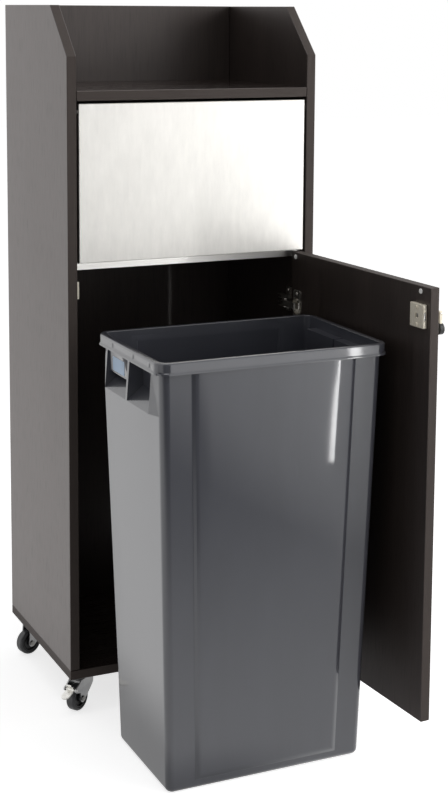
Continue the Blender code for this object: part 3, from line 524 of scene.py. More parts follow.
def makeCamera(spec):
    yaw, pitch, roll = (math.radians(spec[key]) for key in ("yaw", "pitch", "roll"))
    ahead = Vector((math.sin(yaw) * math.cos(pitch), math.cos(yaw) * math.cos(pitch), math.sin(pitch)))
    right = Vector((math.cos(yaw), -math.sin(yaw), 0.0))
    up = right.cross(ahead)
    across = math.cos(roll) * right + math.sin(roll) * up
    upward = math.cos(roll) * up - math.sin(roll) * right
    data = bpy.data.cameras.new("photo_camera")
    camera = bpy.data.objects.new("photo_camera", data)
    bpy.context.scene.collection.objects.link(camera)
    turn = Matrix((across, upward, -ahead)).transposed().to_4x4()
    camera.matrix_world = Matrix.Translation(spec["place"]) @ turn
    height = spec["frameHeight"]
    data.sensor_fit = "VERTICAL"
    data.sensor_height = spec["sensor"]
    data.lens = spec["focalPixels"] * data.sensor_height / height
    data.shift_y = (spec["centreRow"] - height / 2.0) / height
    data.clip_end = spec["clip"]
    bpy.context.scene.camera = camera


stageSpec = {
    "floorHalf": 14.0,
    "floorColour": rgb(0.80, 0.80, 0.80),
    "floorLift": 0.70,
    # the floor as seen in reflections is painted: brighter behind and at the right front, with a painted shadow near
    # the cabinet's left side
    "mirrorBack": (-2.1, -0.6, 0.06, 1.0),
    "mirrorRight": (0.35, 0.85, 0.0, 0.9),
    "mirrorShade": ((0, -0.36, -0.24, 0.0, 0.5), (0, -0.1, 0.1, 1.0, 0.0), (1, -0.68, -0.56, 0.0, 1.0)),
    "ambient": 0.42,
    "room": (-0.75, 0.05, 0.30, 1.0),
}


def makeFloor(spec):
    clearSelection()
    bpy.ops.mesh.primitive_plane_add(size=2.0 * spec["floorHalf"])
    floor = named("studio_floor")
    sheet = Sheet("studio_floor_paint")
    sheet.set("Base Color", spec["floorColour"])
    sheet.set("Roughness", 0.9)
    sheet.set("Specular IOR Level", 0.0)
    seen, glossy = sheet.ray("Camera"), sheet.ray("Glossy")
    dark = sheet.add("ShaderNodeEmission", None, {"Color": rgb(0, 0, 0)})
    glow = sheet.add("ShaderNodeEmission", None, {"Color": rgb(1, 1, 1), "Strength": spec["floorLift"]})
    glow = sheet.add("ShaderNodeMixShader", None, {0: seen, 1: dark, 2: glow})
    lit = sheet.add("ShaderNodeAddShader", None, {0: Wire(sheet, sheet.shader.outputs[0]), 1: glow})
    # shiny faces see the floor as a glow of painted light and shade: a white sweep behind the object, a floor in front
    # that is whiter on the right as painted light, and painted shadow beside the cabinet's left side
    back = sheet.span(sheet.axis(1), *spec["mirrorBack"])
    right = sheet.span(sheet.axis(0), *spec["mirrorRight"])
    # painted shadow: the reflected floor is darkened near the cabinet's left side
    shade = 1.0
    for axis, *reach in spec["mirrorShade"]:
        shade = sheet.span(sheet.axis(axis), *reach) * shade
    paintedReflection = sheet.add("ShaderNodeEmission", None, {"Color": back.maths("MAXIMUM", right) * (1.0 - shade)})
    both = sheet.add("ShaderNodeMixShader", None, {0: glossy, 1: lit, 2: paintedReflection})
    sheet.feed(sheet.tree.nodes["Material Output"].inputs["Surface"], both)
    floor.data.materials.append(sheet.material)


def makeWorld(spec):
    world = bpy.data.worlds.new("studio_world")
    bpy.context.scene.world = world
    world.use_nodes = True
    sheet = Sheet("studio_world", world.node_tree)
    backdrop = world.node_tree.nodes["Background"]
    plain = Wire(sheet, backdrop.outputs[0])
    sheet.feed(backdrop.inputs["Color"], rgb(1, 1, 1))
    sheet.feed(backdrop.inputs["Strength"], spec["ambient"])
    camera, glossy, through = (sheet.ray(kind) for kind in ("Camera", "Glossy", "Transmission"))
    # the room behind the camera is dimmer than the white surround
    heading = sheet.add("ShaderNodeTexCoord", None, None, "Generated")
    room = sheet.span(sheet.add("ShaderNodeSeparateXYZ", None, {0: heading}, 1), *spec["room"])
    direct = camera.maths("MAXIMUM", through)
    white = sheet.add("ShaderNodeBackground", None, {"Color": direct.maths("MAXIMUM", glossy * room)})
    both = sheet.add("ShaderNodeMixShader", None, {0: direct.maths("MAXIMUM", glossy), 1: plain, 2: white})
    sheet.feed(world.node_tree.nodes["World Output"].inputs["Surface"], both)


lampSpecs = {
    "high_left_softbox": {"place": (-1.7, -2.3, 2.7), "aim": (0.0, -0.3, 0.7), "size": (1.5, 1.5), "level": 3.5},
    "overhead_softbox": {"place": (0.1, -0.5, 3.1), "aim": (0.0, -0.3, 0.0), "size": (2.0, 1.6), "level": 9.0},
    "right_softbox": {"place": (1.30, -2.80, 1.20), "aim": (0.0, -0.2, 1.0), "size": (1.9, 1.8), "level": 10.0},
    "far_right_softbox": {"place": (2.4, -1.6, 1.6), "aim": (0.0, -0.3, 0.7), "size": (2.0, 2.0), "level": 46.0},
    "right_strip": {
        "place": (0.90, -1.95, 0.42), "aim": (0.12, -0.55, 0.42), "size": (0.034, 0.98), "level": 1.30,
        "shape": "ELLIPSE",
    },
}


def makeLamps(specs):
    for name, spec in specs.items():
        data = bpy.data.lights.new(name, "AREA")
        data.shape = spec.get("shape", "RECTANGLE")
        data.size, data.size_y = spec["size"]
        data.energy = spec["level"]
        lamp = bpy.data.objects.new(name, data)
        bpy.context.scene.collection.objects.link(lamp)
        place = Vector(spec["place"])
        lamp.location = place
        lamp.rotation_euler = (Vector(spec["aim"]) - place).to_track_quat("-Z", "Y").to_euler()


makeCamera(cameraSpec)
makeFloor(stageSpec)
makeWorld(stageSpec)
makeLamps(lampSpecs)
bpy.context.scene.view_settings.view_transform = "Standard"
print("camera, floor and lamps set")


# the loose tub: one moulded sheet, drawn as its inner side and rim, then given its thickness

tubSpec = {
    "centre": (-0.0137, -0.4189),
    "height": 0.753,
    "rimHalf": (0.2145, 0.1452),
    "rimCorner": 0.0225,
    "rolls": ((0.0010, 0.0014), (0.0015, 0.0010), (0.0070, 0.0), (0.0015, -0.0010)),
    "rollDepth": 0.0024,
    "footHalf": (0.1820, 0.1127),
    "topHalf": (0.2035, 0.1342),
    "wall": 0.0030,
    "footRound": 0.0080,
    "skirtDrop": 0.0135,
    "lip": (0.0013, 0.0016, 0.0030),
    "panelBorder": 0.038,
    "panelSlope": 0.0085,
    "panelProud": 0.0050,
    "panelFoot": 0.018,
    "panelTop": 0.7425,
    "panelRounds": (0.0032, 0.0014),
    "panelRoundSteps": 3,
    "crown": 0.0008,
    "gripLevels": (0.660, 0.734),
    "gripSides": (0.002, 0.103),
    "gripDepth": 0.0190,
    "gripFloorRise": 0.026,
    "windowLevels": (0.7385, 0.7480),
    "windows": ((-0.116, -0.1035), (-0.099, -0.031), (-0.027, 0.066)),
    "windowDepth": 0.0011,
    "windowSlope": 0.0013,
    "ribs": (-0.1945, 0.1945),
    "ribHalf": 0.0007,
    "ribProud": 0.0006,
    "cornerSteps": 8,
    "footSteps": 4,
    "crownCuts": 11,
    "fieldArea": 0.1,
    "endArea": 0.003,
    "endReach": 0.21,
    "skirtFrom": 0.73,
    "skirtSnap": 0.0006,
    "ledge": (0.005, 0.002, 0.001),
    "edgeRound": 0.0011,
    "edgeAngle": 42.0,
}


def makeTub(spec):
    cx, cy = spec["centre"]
    height = spec["height"]
    taper = (spec["topHalf"][1] - spec["footHalf"][1]) / height
    clearSelection()
    bpy.ops.mesh.primitive_plane_add(size=2.0, location=(cx, cy, height - spec["rollDepth"]))
    tub = named("tub_moulding")
    tub.scale = (*spec["rimHalf"], 1.0)
    applyPlace(tub)
    openEdit(tub, "VERT")
    bpy.ops.mesh.select_all(action="SELECT")
    bpy.ops.mesh.bevel(offset=spec["rimCorner"], segments=spec["cornerSteps"], affect="VERTICES", profile=0.5)
    openEdit(tub, "FACE")
    bpy.ops.mesh.select_all(action="SELECT")
    for inward, lift in spec["rolls"]:
        bpy.ops.mesh.inset(thickness=inward, depth=lift)
    # the picked face goes down to the floor of the tub
    work = bmesh.from_edit_mesh(tub.data)
    level = next(face for face in work.faces if face.select).calc_center_median().z
    extrudeBy((0.0, 0.0, spec["wall"] - level))
    shrink = [foot / top for foot, top in zip(spec["footHalf"], spec["topHalf"])]
    growFrom((cx, cy, spec["wall"]), (*shrink, 1.0))
    pick(tub, "EDGE", lambda edge: all(vert.co.z < spec["wall"] + 0.0001 for vert in edge.verts))
    bpy.ops.mesh.bevel(offset=spec["footRound"], segments=spec["footSteps"], profile=0.5)
    # skirt and lip hang from the outer edge
    pick(tub, "EDGE", lambda edge: edge.is_boundary)
    extrudeBy((0.0, 0.0, -spec["skirtDrop"]))
    out, fall, drop = spec["lip"]
    extrudeBy((0.0, 0.0, -fall))
    wider = [(half + out) / half for half in spec["rimHalf"]]
    growFrom((cx, cy, height), (*wider, 1.0))
    extrudeBy((0.0, 0.0, -drop))
    shapePanels(tub, spec, cx, taper)
    shapeGrips(tub, spec, cx, cy)
    shapeWindows(tub, spec, cx, cy)
    closeEdit()
    inside = len(tub.data.vertices)
    applyModifier(tub, "SOLIDIFY", thickness=spec["wall"], offset=-1.0, use_even_offset=True, use_rim=True)
    levelInside(tub, spec, cy, taper, inside)
    roundEdges(tub, spec["edgeRound"], 2, spec["edgeAngle"])
    smoothShade(tub, spec["edgeAngle"])
    return tub


def largestField(work, sign):
    facing = (face for face in work.faces if face.normal.y * sign < -0.9)
    return max(facing, key=lambda face: face.calc_area())


def shapePanels(tub, spec, cx, taper):
    # raised field on each long face; the sheet is seen from inside, so it is pushed outwards
    pick(tub, "FACE", lambda face: abs(face.normal.y) > 0.9 and face.calc_area() > spec["fieldArea"])
    bpy.ops.mesh.inset(thickness=spec["panelBorder"], depth=0.0)
    bpy.ops.mesh.inset(thickness=spec["panelSlope"], depth=-spec["panelProud"])
    for sign in (-1, 1):
        for rank, edge in enumerate(("outer", "inner")):
            slope = spec["panelSlope"] * rank
            for goal, upper in ((spec["panelTop"] - slope, True), (spec["panelFoot"] + slope, False)):
                work = bmesh.from_edit_mesh(tub.data)
                ring = set(largestField(work, sign).verts)
                if edge == "outer":
                    beside = {other for vert in ring for link in vert.link_edges for other in link.verts}
                    ring = beside - ring
                middle = sum(vert.co.z for vert in ring) / len(ring)
                chosen = {vert.index for vert in ring if (vert.co.z > middle) == upper}
                level = sum(vert.co.z for vert in ring if vert.index in chosen) / len(chosen)
                pick(tub, "VERT", lambda vert: vert.index in chosen)
                move = goal - level
                shift((0.0, sign * taper * move, move))
    softenPanels(tub, spec)
    for sign in (-1, 1):

        def isField(face):
            central = abs(face.calc_center_median().x - cx) < 0.02
            return face.normal.y * sign < -0.9 and central and face.calc_area() > spec["fieldArea"]

        pick(tub, "FACE", isField)
        bpy.ops.mesh.subdivide(number_cuts=spec["crownCuts"])
        work = bmesh.from_edit_mesh(tub.data)
        area = [vert for vert in work.verts if vert.select]
        low = min(vert.co.z for vert in area)
        high = max(vert.co.z for vert in area)
        wide = max(abs(vert.co.x - cx) for vert in area)
        for vert in area:
            across = 1.0 - ((vert.co.x - cx) / wide) ** 2
            along = 1.0 - (2.0 * (vert.co.z - low) / (high - low) - 1.0) ** 2
            vert.co.y += sign * spec["crown"] * max(0.0, across) * max(0.0, along)
        bmesh.update_edit_mesh(tub.data)


def softenPanels(tub, spec):
    # the raised field's own edge is well rounded, its foot on the wall only slightly
    for width, rank in ((spec["panelRounds"][0], "inner"), (spec["panelRounds"][1], "outer")):
        work = bmesh.from_edit_mesh(tub.data)
        work.edges.index_update()
        chosen = set()
        for sign in (-1, 1):
            field = largestField(work, sign)
            ring = set(field.edges)
            if rank == "outer":
                strips = {face for edge in field.edges for face in edge.link_faces if face is not field}
                for _ in range(spec["panelRoundSteps"]):
                    near = {face for strip in strips for edge in strip.edges for face in edge.link_faces}
                    strips |= {face for face in near if abs(face.normal.y) < 0.985 and face is not field}
                known = strips | {field}
                rims = {edge for face in strips for edge in face.edges}
                ring = {edge for edge in rims if any(other not in known for other in edge.link_faces)}
            chosen |= {edge.index for edge in ring}
        pick(tub, "EDGE", lambda edge: edge.index in chosen)
        bpy.ops.mesh.bevel(offset=width, segments=spec["panelRoundSteps"], profile=0.5)


def levelInside(tub, spec, cy, taper, inside):
    # under the rim the inside runs on flush, with no ledge behind the raised field
    below, above, spare = spec["ledge"]
    low, high = spec["panelTop"] - spec["panelSlope"] - below, spec["panelTop"] + above

    def flush(vert):
        return spec["footHalf"][1] + taper * (vert.co.z - spec["wall"])

    def isLedge(vert):
        proud = abs(vert.co.y - cy) - flush(vert)
        return vert.index < inside and low < vert.co.z < high and 0.0 < proud < spec["panelProud"] + spare

    pick(tub, "VERT", isLedge)
    work = bmesh.from_edit_mesh(tub.data)
    for vert in (vert for vert in work.verts if vert.select):
        vert.co.y = cy + math.copysign(flush(vert), vert.co.y - cy)
    bmesh.update_edit_mesh(tub.data)
    closeEdit()


def shapeGrips(tub, spec, cx, cy):
    # two finger pockets in each short end
    low, high = spec["gripLevels"]
    near, far = spec["gripSides"]
    middle = (low + high) / 2.0

    def isEnd(face):
        return abs(face.normal.x) > 0.9 and abs(face.calc_center_median().x - cx) < spec["endReach"]

    def inBand(face):
        return isEnd(face) and low < face.calc_center_median().z < high

    for level in (low, high):
        pick(tub, "FACE", lambda face: isEnd(face) and face.calc_area() > spec["endArea"])
        bpy.ops.mesh.bisect(plane_co=(cx, cy, level), plane_no=(0, 0, 1))

    for side in (-far, -near, near, far):
        pick(tub, "FACE", inBand)
        bpy.ops.mesh.bisect(plane_co=(cx, cy + side, middle), plane_no=(0, 1, 0))
    for end in (-1, 1):

        def isPocket(face):
            place = face.calc_center_median()
            return inBand(face) and (place.x - cx) * end > 0.0 and near < abs(place.y - cy) < far

        pick(tub, "FACE", isPocket)
        extrudeBy((-end * spec["gripDepth"], 0.0, 0.0))
        reach = spec["topHalf"][0] - spec["gripDepth"] * 0.6

        def onPocketFloor(vert):
            deep = 0.1 < (vert.co.x - cx) * end < reach
            return deep and abs(vert.co.z - low) < 0.0015 and abs(vert.co.y - cy) < far + 0.001

        pick(tub, "VERT", onPocketFloor)
        shift((0.0, 0.0, spec["gripFloorRise"]))


def shapeWindows(tub, spec, cx, cy):
    # shallow windows between the upright ribs of the skirt
    low, high = spec["windowLevels"]
    half = spec["rimHalf"]

    def onSkirt(face, axis):
        place = face.calc_center_median()
        off = abs(abs(place[axis] - (cx, cy)[axis]) - half[axis])
        return abs(face.normal[axis]) > 0.95 and off < spec["skirtSnap"] and place.z > spec["skirtFrom"]

    def onEnd(face):
        return onSkirt(face, 0)

    def onLong(face):
        return onSkirt(face, 1)

    def inWindow(face, end, span=(-1.0, 1.0)):
        place = face.calc_center_median()
        here = low < place.z < high and span[0] < place.y - cy < span[1]
        return onEnd(face) and here and (place.x - cx) * end > 0

    for level in (low, high):
        pick(tub, "FACE", onEnd)
        bpy.ops.mesh.bisect(plane_co=(cx, cy, level), plane_no=(0, 0, 1))
    marks = [side for window in spec["windows"] for side in window]
    for side in sorted({mark * sign for mark in marks for sign in (-1, 1)}):
        sign = -1 if side in marks else 1
        pick(tub, "FACE", lambda face: inWindow(face, sign))
        bpy.ops.mesh.bisect(plane_co=(cx, cy + side, (low + high) / 2.0), plane_no=(0, 1, 0))
    for end in (-1, 1):
        for first, last in spec["windows"]:
            span = sorted((-end * first, -end * last))
            pick(tub, "FACE", lambda face: inWindow(face, end, span))
            bpy.ops.mesh.inset(thickness=spec["windowSlope"], depth=-spec["windowDepth"])
    # one fine rib near each end of the long sides
    for rib in spec["ribs"]:
        for side in (rib - spec["ribHalf"], rib + spec["ribHalf"]):
            pick(tub, "FACE", onLong)
            bpy.ops.mesh.bisect(plane_co=(cx + side, cy, high), plane_no=(1, 0, 0))
        for end in (-1, 1):

            def onRib(face):
                place = face.calc_center_median()
                return onLong(face) and abs(place.x - cx - rib) < spec["ribHalf"] and (place.y - cy) * end > 0

            pick(tub, "FACE", onRib)
            extrudeBy((0.0, end * spec["ribProud"], 0.0))


tubPiece = settle(makeTub(tubSpec), "bin", tubPlastic, ["bin_tub"])
print("tub made:", len(tubPiece.data.polygons), "faces")


labelSpec = {
    "lean": math.atan(0.021 / 0.753),
    "thick": 0.0015,
    "corner": 0.0022,
    "frame": 0.0024,
    "sink": 0.0005,
    "card": ((-0.0230, -0.0158), (0.0324, 0.0095)),
    "cardProud": 0.0003,
    "cardSeat": 0.0002,
    "cardCorner": 0.0028,
    "round": 0.0002,
    "fit": 0.995,
}


def makeLabel(spec):
    # moulded plate with a raised frame and a small blank card, leaning with the tub's end
    low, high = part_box("label_plate")
    half = (high - low) / 2.0
    thick = spec["thick"] / 2.0
    floor = -thick + spec["sink"]
    tall = half.z * spec["fit"]
    label = startBox("label_frame", (-thick, -half.y, -tall), (thick, half.y, tall))
    pick(label, "EDGE", lambda edge: abs(edge.verts[0].co.x - edge.verts[1].co.x) > thick)
    bpy.ops.mesh.bevel(offset=spec["corner"], segments=4)
    closeEdit()
    reach = (half.y - spec["frame"], half.z - spec["frame"])
    cutAway(label, startBox("label_recess", (-0.01, -reach[0], -reach[1]), (floor, *reach)))
    roundEdges(label, spec["round"], 2, 50.0)
    (first, foot), (last, top) = spec["card"]
    face = floor - spec["cardProud"]
    card = startBox("label_card", (face, first, foot), (floor + spec["cardSeat"], last, top))
    pick(card, "EDGE", lambda edge: abs(edge.verts[0].co.x - edge.verts[1].co.x) > spec["cardProud"])
    bpy.ops.mesh.bevel(offset=spec["cardCorner"], segments=4)
    closeEdit()
    dress(label, tubPlastic)
    dress(card, labelCard)
    joinTo(label, [card])
    smoothShade(label, 30.0, False)
    movePiece(label, Matrix.Translation((low + high) / 2.0) @ Matrix.Rotation(-spec["lean"], 4, "Y"))
    return settle(label, "bin", None, ["label_plate"])


makeLabel(labelSpec)
print("label frame made")


# castors: each form is modelled once in its own frame and copied to the corners

castorSpec = {
    "corners": {
        "front_left": ((-0.208, -0.143, 0.0), 35.0),
        "front_right": ((0.208, -0.143, 0.0), 20.0),
        "rear_left": ((-0.208, 0.143, 0.0), 17.0),
        "rear_right": ((0.208, 0.143, 0.0), 8.0),
    },
    "braked": ("front_left", "front_right"),
    "axle": (-0.024, 0.025),
    "pivot": (-0.0435, 0.0465),
    "crown": (0.0597, 0.0622),
    "front": 0.019,
    "rear": -0.028,
    "notch": (-0.0312, 0.0378),
    "lip": 0.0557,
    "half": 0.0140,
    "gap": 0.0115,
    "sheet": 0.0025,
    "apronFoot": 0.0425,
    "boss": 0.0075,
    "ear": 0.0045,
    "holes": {"axle": 0.0033, "pin": 0.0023, "kingpin": 0.0054},
    "race": (
        (0.0050, 0.0608), (0.0150, 0.0608), (0.0150, 0.0634), (0.0143, 0.0645), (0.0130, 0.0649), (0.0050, 0.0649),
    ),
    "past": 0.02,
    "tail": -0.08,
    "kingpinReach": (0.055, 0.075),
    "forkRound": 0.0006,
    "bolt": {"radius": 0.0030, "head": 0.0054, "seat": 0.0143, "end": 0.0171},
    "hub": (
        (0.0033, 0.0109), (0.0036, 0.0112), (0.0069, 0.0112), (0.0075, 0.0106), (0.0081, 0.0043), (0.0092, 0.0036),
        (0.0116, 0.0036), (0.0120, 0.0046), (0.0132, 0.0046), (0.0136, 0.0036), (0.0151, 0.0037), (0.0159, 0.0073),
        (0.0165, 0.0080), (0.0183, 0.0080), (0.0187, 0.0076),
    ),
    "tyre": (
        (0.0190, 0.0079), (0.0192, 0.0087), (0.0196, 0.0090), (0.0200, 0.0090), (0.0202, 0.0084), (0.0207, 0.0084),
        (0.0209, 0.0090),
    ),
    "shoulder": ((0.0210, 0.0050), 0.0040),
    "pedal": {
        "half": 0.00825, "boss": 0.0035, "pin": 0.0020, "sheet": 0.0022, "toe": 0.0265, "toeFall": 22.0,
        "heel": 0.0130, "heelRise": 55.0, "heelCorner": 0.0045, "hole": 0.0015, "holeAt": (0.0085, 0.0040),
        "round": 0.0005,
    },
}


def layAcross(form, place):
    # turns an upright form onto the Y axis, at a point of the castor's side view
    return movePiece(form, moved(place[0], 0.0, place[1]) @ spun(90.0, "X"))


def crossRod(name, radius, place, half, steps=32):
    # rod along Y through a point of the castor's side view
    return layAcross(startRod(name, radius, -half, half, steps), place)


def roundNose(name, front, half):
    # plan of a fork or its hollow: straight sides and a round front
    plan = [(-0.09, half), (-0.09, -half)] + arcPoints((front - half, 0.0), half, -90.0, 90.0, 20)
    return plateFrom(name, plan, (-0.03, 0.10), "Z")


def makeFork(spec, braked):
    axle, pivot = spec["axle"], spec["pivot"]
    low, top = spec["crown"]
    front, lip, half, gap, sheet = (spec[key] for key in ("front", "lip", "half", "gap", "sheet"))
    past, tail, foot = spec["past"], spec["tail"], spec["apronFoot"]
    outline = [(front, top), (spec["rear"], top)]
    if braked:
        outline += arcPoints(pivot, spec["ear"], 75.0, 255.0, 10) + [spec["notch"]]
    outline += arcPoints(axle, spec["boss"], 180.0, 330.0, 16)
    toe = outline[-1]
    outline += [(front, lip)]
    fork = plateFrom("fork_form", outline, (-past, past), "Y")
    cutAway(fork, roundNose("fork_plan", front, half), "INTERSECT")
    slope = (front - toe[0]) / (lip - toe[1])
    channel = [(front, low), (tail, low), (tail, -past), (front, -past), (front, lip - 0.001)]
    hollow = plateFrom("fork_hollow", channel, (-past, past), "Y")
    cutAway(hollow, roundNose("hollow_plan", front - sheet, gap), "INTERSECT")
    cutAway(fork, hollow)
    # below the apron only the two legs are left
    reach = front - (lip - foot) * slope
    ahead, behind = reach + 0.03, axle[0] - past
    legs = [(ahead, foot), (behind, foot), (behind, -past), (ahead, -past)]
    cutAway(fork, plateFrom("fork_legs", legs, (-gap, gap), "Y"))
    cutAway(fork, lathe("fork_race", spec["race"], 48), "UNION")
    cutAway(fork, crossRod("axle_hole", spec["holes"]["axle"], axle, 0.03))
    if braked:
        cutAway(fork, crossRod("pin_hole", spec["holes"]["pin"], pivot, 0.03))
    cutAway(fork, startRod("kingpin_hole", spec["holes"]["kingpin"], *spec["kingpinReach"], 32))
    roundEdges(fork, spec["forkRound"], 2, 38.0)
    smoothShade(fork, 38.0)
    return fork


def makeAxle(spec):
    # bolt with a hexagon head and nut, its ends domed
    bolt = spec["bolt"]
    axle = startRod("axle_form", bolt["radius"], -bolt["end"] + 0.0003, bolt["end"] - 0.0003, 24)
    for sign in (-1, 1):
        seat, end = sorted((sign * bolt["seat"], sign * (bolt["end"] - 0.0004)))
        head = startRod("axle_head", bolt["head"], seat, end, 6)
        roundEdges(head, 0.0005, 2, 80.0)
        cutAway(axle, head, "UNION")
    roundEdges(axle, 0.0002, 2, 50.0)
    smoothShade(axle, 35.0)
    return layAcross(axle, spec["axle"])


def makeWheelForm(name, spec, upper, steps):
    profile = list(upper) + [(radius, -height) for radius, height in reversed(upper)]
    form = lathe(name, profile, steps)
    smoothShade(form, 38.0)
    return layAcross(form, spec["axle"])


def makePedal(spec):
    # rocker: rolled eye on its pin, broad round toe and a short heel with two holes
    size = spec["pedal"]
    half, sheet = size["half"], size["sheet"] / 2.0
    pedal = startRod("pedal_form", size["boss"], -half, half, 24)
    movePiece(pedal, spun(90.0, "X"))
    reach = size["toe"] - half
    outline = [(0.0, -half), (0.0, half)] + arcPoints((-reach, 0.0), half, 90.0, 270.0, 16)
    toe = plateFrom("pedal_toe", outline, (-sheet, sheet), "Z")
    cutAway(pedal, movePiece(toe, spun(-size["toeFall"], "Y")), "UNION")
    corner = size["heelCorner"]
    reach = size["heel"] - corner
    outline = [(0.0, -half), (0.0, half)] + arcPoints((-reach, half - corner), corner, 90.0, 180.0, 6)
    outline += arcPoints((-reach, corner - half), corner, 180.0, 270.0, 6)
    heel = plateFrom("pedal_heel", outline, (-sheet, sheet), "Z")
    for side in (-1, 1):
        hole = startRod("heel_hole", size["hole"], -0.01, 0.01, 20)
        cutAway(heel, movePiece(hole, moved(-size["holeAt"][0], side * size["holeAt"][1], 0.0)))
    cutAway(pedal, movePiece(heel, spun(size["heelRise"], "Y")), "UNION")
    cutAway(pedal, crossRod("pedal_pin", size["pin"], (0.0, 0.0), spec["half"], 20), "UNION")
    roundEdges(pedal, size["round"], 2, 40.0)
    smoothShade(pedal, 38.0)
    return movePiece(pedal, moved(spec["pivot"][0], 0.0, spec["pivot"][1]))


def makeCastors(spec):
    arc = arcPoints(*spec["shoulder"], 90.0, 0.0, 6)
    forms = {
        "fork": makeFork(spec, False),
        "forkBraked": makeFork(spec, True),
        "axle": makeAxle(spec),
        "hub": makeWheelForm("hub_form", spec, spec["hub"], 64),
        "tyre": makeWheelForm("tyre_form", spec, list(spec["tyre"]) + arc, 72),
        "pedal": makePedal(spec),
    }
    for corner, (place, turn) in spec["corners"].items():
        braked = corner in spec["braked"]
        matrix = moved(*place) @ spun(turn, "Z")
        rows = [
            ("forkBraked" if braked else "fork", "fork", "castor_", "castor_zinc", castorZinc, "castor_fork_"),
            ("axle", "axle_bolt", "castor_", "bright_steel", axleSteel, "castor_axle_"),
            ("hub", "wheel_hub", "wheel_", "black_plastic", blackPlastic, "castor_hub_"),
            ("tyre", "wheel_tyre", "wheel_", "tyre_rubber", tyreRubber, "castor_tyre_"),
        ]
        if braked:
            rows.append(("pedal", "pedal", "brake_", "bright_steel", brightSteel, "brake_pedal_"))
        for form, name, body, slotName, finish, node in rows:
            piece = movePiece(copyOf(forms[form], name + "_" + corner), matrix)
            settle(piece, body + corner, finish, [node + corner])
    for form in forms.values():
        discard(form)


makeCastors(castorSpec)
print("castors made")


# lock, key bow and door pads, modelled with the door shut and then swung with it

doorSpec = {"axis": (0.224, -0.183, 0.0), "opened": 1.630138}
doorTurn = Matrix.Translation(doorSpec["axis"]) @ Matrix.Rotation(doorSpec["opened"], 4, "Z")
doorPlace = doorTurn @ Matrix.Translation(-Vector(doorSpec["axis"]))

lockSpec = {
    "low": (-0.2210, -0.1667, 0.7875),
    "high": (-0.1815, -0.1589, 0.8285),
    "level": 0.808,
    "channel": ((-0.2300, -0.1645, -0.0073), (-0.1850, -0.1602, 0.0073)),
    "keyhole": (-0.2017, 0.0040),
    "plugHole": 0.0064,
    "fold": 0.0011,
    "keyholeReach": (-0.1625, -0.15),
    "plugReach": (-0.175, -0.1630),
    "round": 0.0003,
}


def makeLock(spec):
    # pressed case: folded edges, square keyhole and a bolt channel open between two lips
    case = startBox("lock_case_pressing", spec["low"], spec["high"])
    roundEdges(case, spec["fold"], 3)
    level = spec["level"]
    low, high = (Vector(corner) + Vector((0.0, 0.0, level)) for corner in spec["channel"])
    cutAway(case, startBox("bolt_channel", low, high))
    x, half = spec["keyhole"]
    near, far = spec["keyholeReach"]
    cutAway(case, startBox("keyhole", (x - half, near, level - half), (x + half, far, level + half)))
    plug = startRod("plug_hole", spec["plugHole"], *spec["plugReach"], 32)
    cutAway(case, movePiece(plug, moved(x, 0.0, level) @ spun(-90.0, "X")))
    roundEdges(case, spec["round"], 2, 50.0)
    smoothShade(case, 38.0)
    return movePiece(case, doorPlace)


bowSpec = {
    "pin": (0.272805, -0.606551, 0.808),
    "arm": 0.0050,
    "armHalf": 0.0026,
    "top": 0.0044,
    "headHalf": 0.0105,
    "headCentre": -0.0271,
    "half": 0.0040,
    "slot": 0.0015,
    "fork": -0.0076,
    "pinHole": 0.0018,
    "pinReach": 0.0058,
    "insets": ((0.0022, 0.0), (0.0006, -0.0009)),
    "ringHole": 0.0026,
    "ringLevel": -0.0318,
    "round": 0.0006,
}


def makeBow(spec):
    # hanging key bow: slim metal fork above, moulded black head below with a hole for a ring
    half, arm, centre = spec["half"], spec["arm"], (0.0, spec["headCentre"])
    head = plateFrom("key_bow_head", arcPoints(centre, spec["headHalf"], 0.0, 345.0, 23), (-half, half), "Y")
    pick(head, "FACE", lambda face: abs(face.normal.y) > 0.9)
    for inward, lift in spec["insets"]:
        bpy.ops.mesh.inset(thickness=inward, depth=lift)
    closeEdit()
    outline = [(-arm, spec["headCentre"]), (-arm, 0.0)] + arcPoints((0.0, 0.0), spec["top"], 150.0, 30.0, 10)
    outline += [(arm, 0.0), (arm, spec["headCentre"])]
    fork = plateFrom("key_bow_fork", outline, (-spec["armHalf"], spec["armHalf"]), "Y")
    cutAway(head, fork, "UNION")
    cutAway(head, startBox("bow_slot", (-spec["slot"], -0.02, spec["fork"]), (spec["slot"], 0.02, 0.02)))
    hole = startRod("bow_pin_hole", spec["pinHole"], -spec["pinReach"], spec["pinReach"], 20)
    cutAway(head, movePiece(hole, spun(90.0, "Y")))
    ring = startRod("bow_ring_hole", spec["ringHole"], -0.02, 0.02, 28)
    cutAway(head, movePiece(ring, moved(0.0, 0.0, spec["ringLevel"]) @ spun(90.0, "X")))
    roundEdges(head, spec["round"], 2, 40.0)
    dress(head, blackPlastic, lockNickel)
    for polygon in head.data.polygons:
        across = Vector((polygon.center.x, polygon.center.z - spec["headCentre"])).length
        polygon.material_index = 1 if across > spec["headHalf"] + 0.0002 else 0
    smoothShade(head, 38.0)
    return movePiece(head, Matrix.Translation(spec["pin"]) @ Matrix.Rotation(doorSpec["opened"], 4, "Z"))


padSpec = {
    "radius": 0.0045,
    "thick": 0.0017,
    "round": 0.0011,
    "level": 0.849,
    "face": -0.1667,
    "places": {"hinge_side": 0.2143, "free_side": -0.2018},
}


def makePads(spec):
    pad = startRod("pad_form", spec["radius"], 0.0, spec["thick"], 36)
    pick(pad, "FACE", lambda face: face.normal.z > 0.9)
    bpy.ops.mesh.bevel(offset=spec["round"], segments=4)
    closeEdit()
    smoothShade(pad, 40.0)
    for side, x in spec["places"].items():
        matrix = doorPlace @ moved(x, spec["face"], spec["level"]) @ spun(-90.0, "X")
        piece = movePiece(copyOf(pad, "door_pad_" + side), matrix)
        settle(piece, "door", whiteNylon, ["bumper_" + side])
    discard(pad)


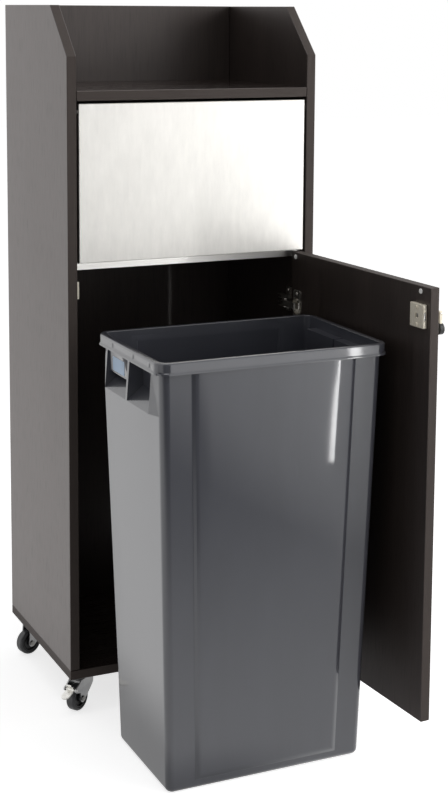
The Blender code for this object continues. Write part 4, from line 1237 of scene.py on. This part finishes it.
settle(makeLock(lockSpec), "door", lockNickel, ["lock_case"])
settle(makeBow(bowSpec), "bow", None, ["key_bow"])
makePads(padSpec)
print("lock, key bow and pads made")


# screw heads: one form, copied to every fixing and joined by the body that carries them

screwSpec = {
    "radius": 0.0030,
    "height": 0.0011,
    "round": 0.0008,
    "recess": (0.0019, 0.00035, 0.0007),
    "hingeLevels": (0.754, 0.196),
    "lockLevel": 0.808,
    "cups": ((0.2075, -0.1655), 0.024),
    "case": ((-0.2010, -0.1589), 0.0148),
    "wings": ((0.2287, -0.1222), 0.018),
    "strike": ((-0.2304, -0.1490), 0.010),
    "plates": (0.022, 0.0692),
}


def makeScrew(spec):
    screw = startRod("screw_form", spec["radius"], 0.0, spec["height"], 24)
    pick(screw, "FACE", lambda face: face.normal.z > 0.9)
    bpy.ops.mesh.bevel(offset=spec["round"], segments=3)
    closeEdit()
    reach, half, depth = spec["recess"]
    for size in ((reach, half), (half, reach)):
        floor = spec["height"] - depth
        cutAway(screw, startBox("screw_recess", (-size[0], -size[1], floor), (size[0], size[1], 0.01)))
    smoothShade(screw, 38.0)
    return screw


def placeScrews(form, name, body, finish, places):
    # places are points on the surface, each with the direction that the head faces
    heads = []
    for index, (place, facing) in enumerate(places):
        turn = Vector(facing).to_track_quat("Z", "Y").to_matrix().to_4x4()
        head = copyOf(form, name + "_head")
        heads.append(movePiece(head, moved(*place) @ turn @ spun(37.0 * index, "Z")))
    piece = joinTo(heads[0], heads[1:])
    piece.name = name
    return settle(piece, body, finish)


def inDoor(place, facing):
    return doorPlace @ Vector(place), doorPlace.to_3x3() @ Vector(facing)


def makeScrews(spec):
    form = makeScrew(spec)
    hinges, lock = spec["hingeLevels"], (spec["lockLevel"],)

    def pairs(key, levels):
        (x, y), spread = spec[key]
        return [(x, y, level + side * spread) for level in levels for side in (-1, 1)]

    cups = [inDoor(place, (0, 1, 0)) for place in pairs("cups", hinges)]
    case = [inDoor(place, (0, 1, 0)) for place in pairs("case", lock)]
    wings = [(place, (-1, 0, 0)) for place in pairs("wings", hinges)]
    strike = [(place, (1, 0, 0)) for place in pairs("strike", lock)]
    spread, level = spec["plates"]
    plates = []
    for (x, y, _), _ in castorSpec["corners"].values():
        plates += [((x + spread * a, y + spread * b, level), (0, 0, -1)) for a in (-1, 1) for b in (-1, 1)]
    placeScrews(form, "hinge_cup_screws", "door", hingeNickel, cups)
    placeScrews(form, "lock_case_screws", "door", lockNickel, case)
    placeScrews(form, "hinge_plate_screws", "cabinet", hingeNickel, wings)
    placeScrews(form, "strike_screws", "cabinet", lockNickel, strike)
    placeScrews(form, "castor_plate_screws", "cabinet", castorZinc, plates)
    discard(form)


makeScrews(screwSpec)
print("screw heads placed")
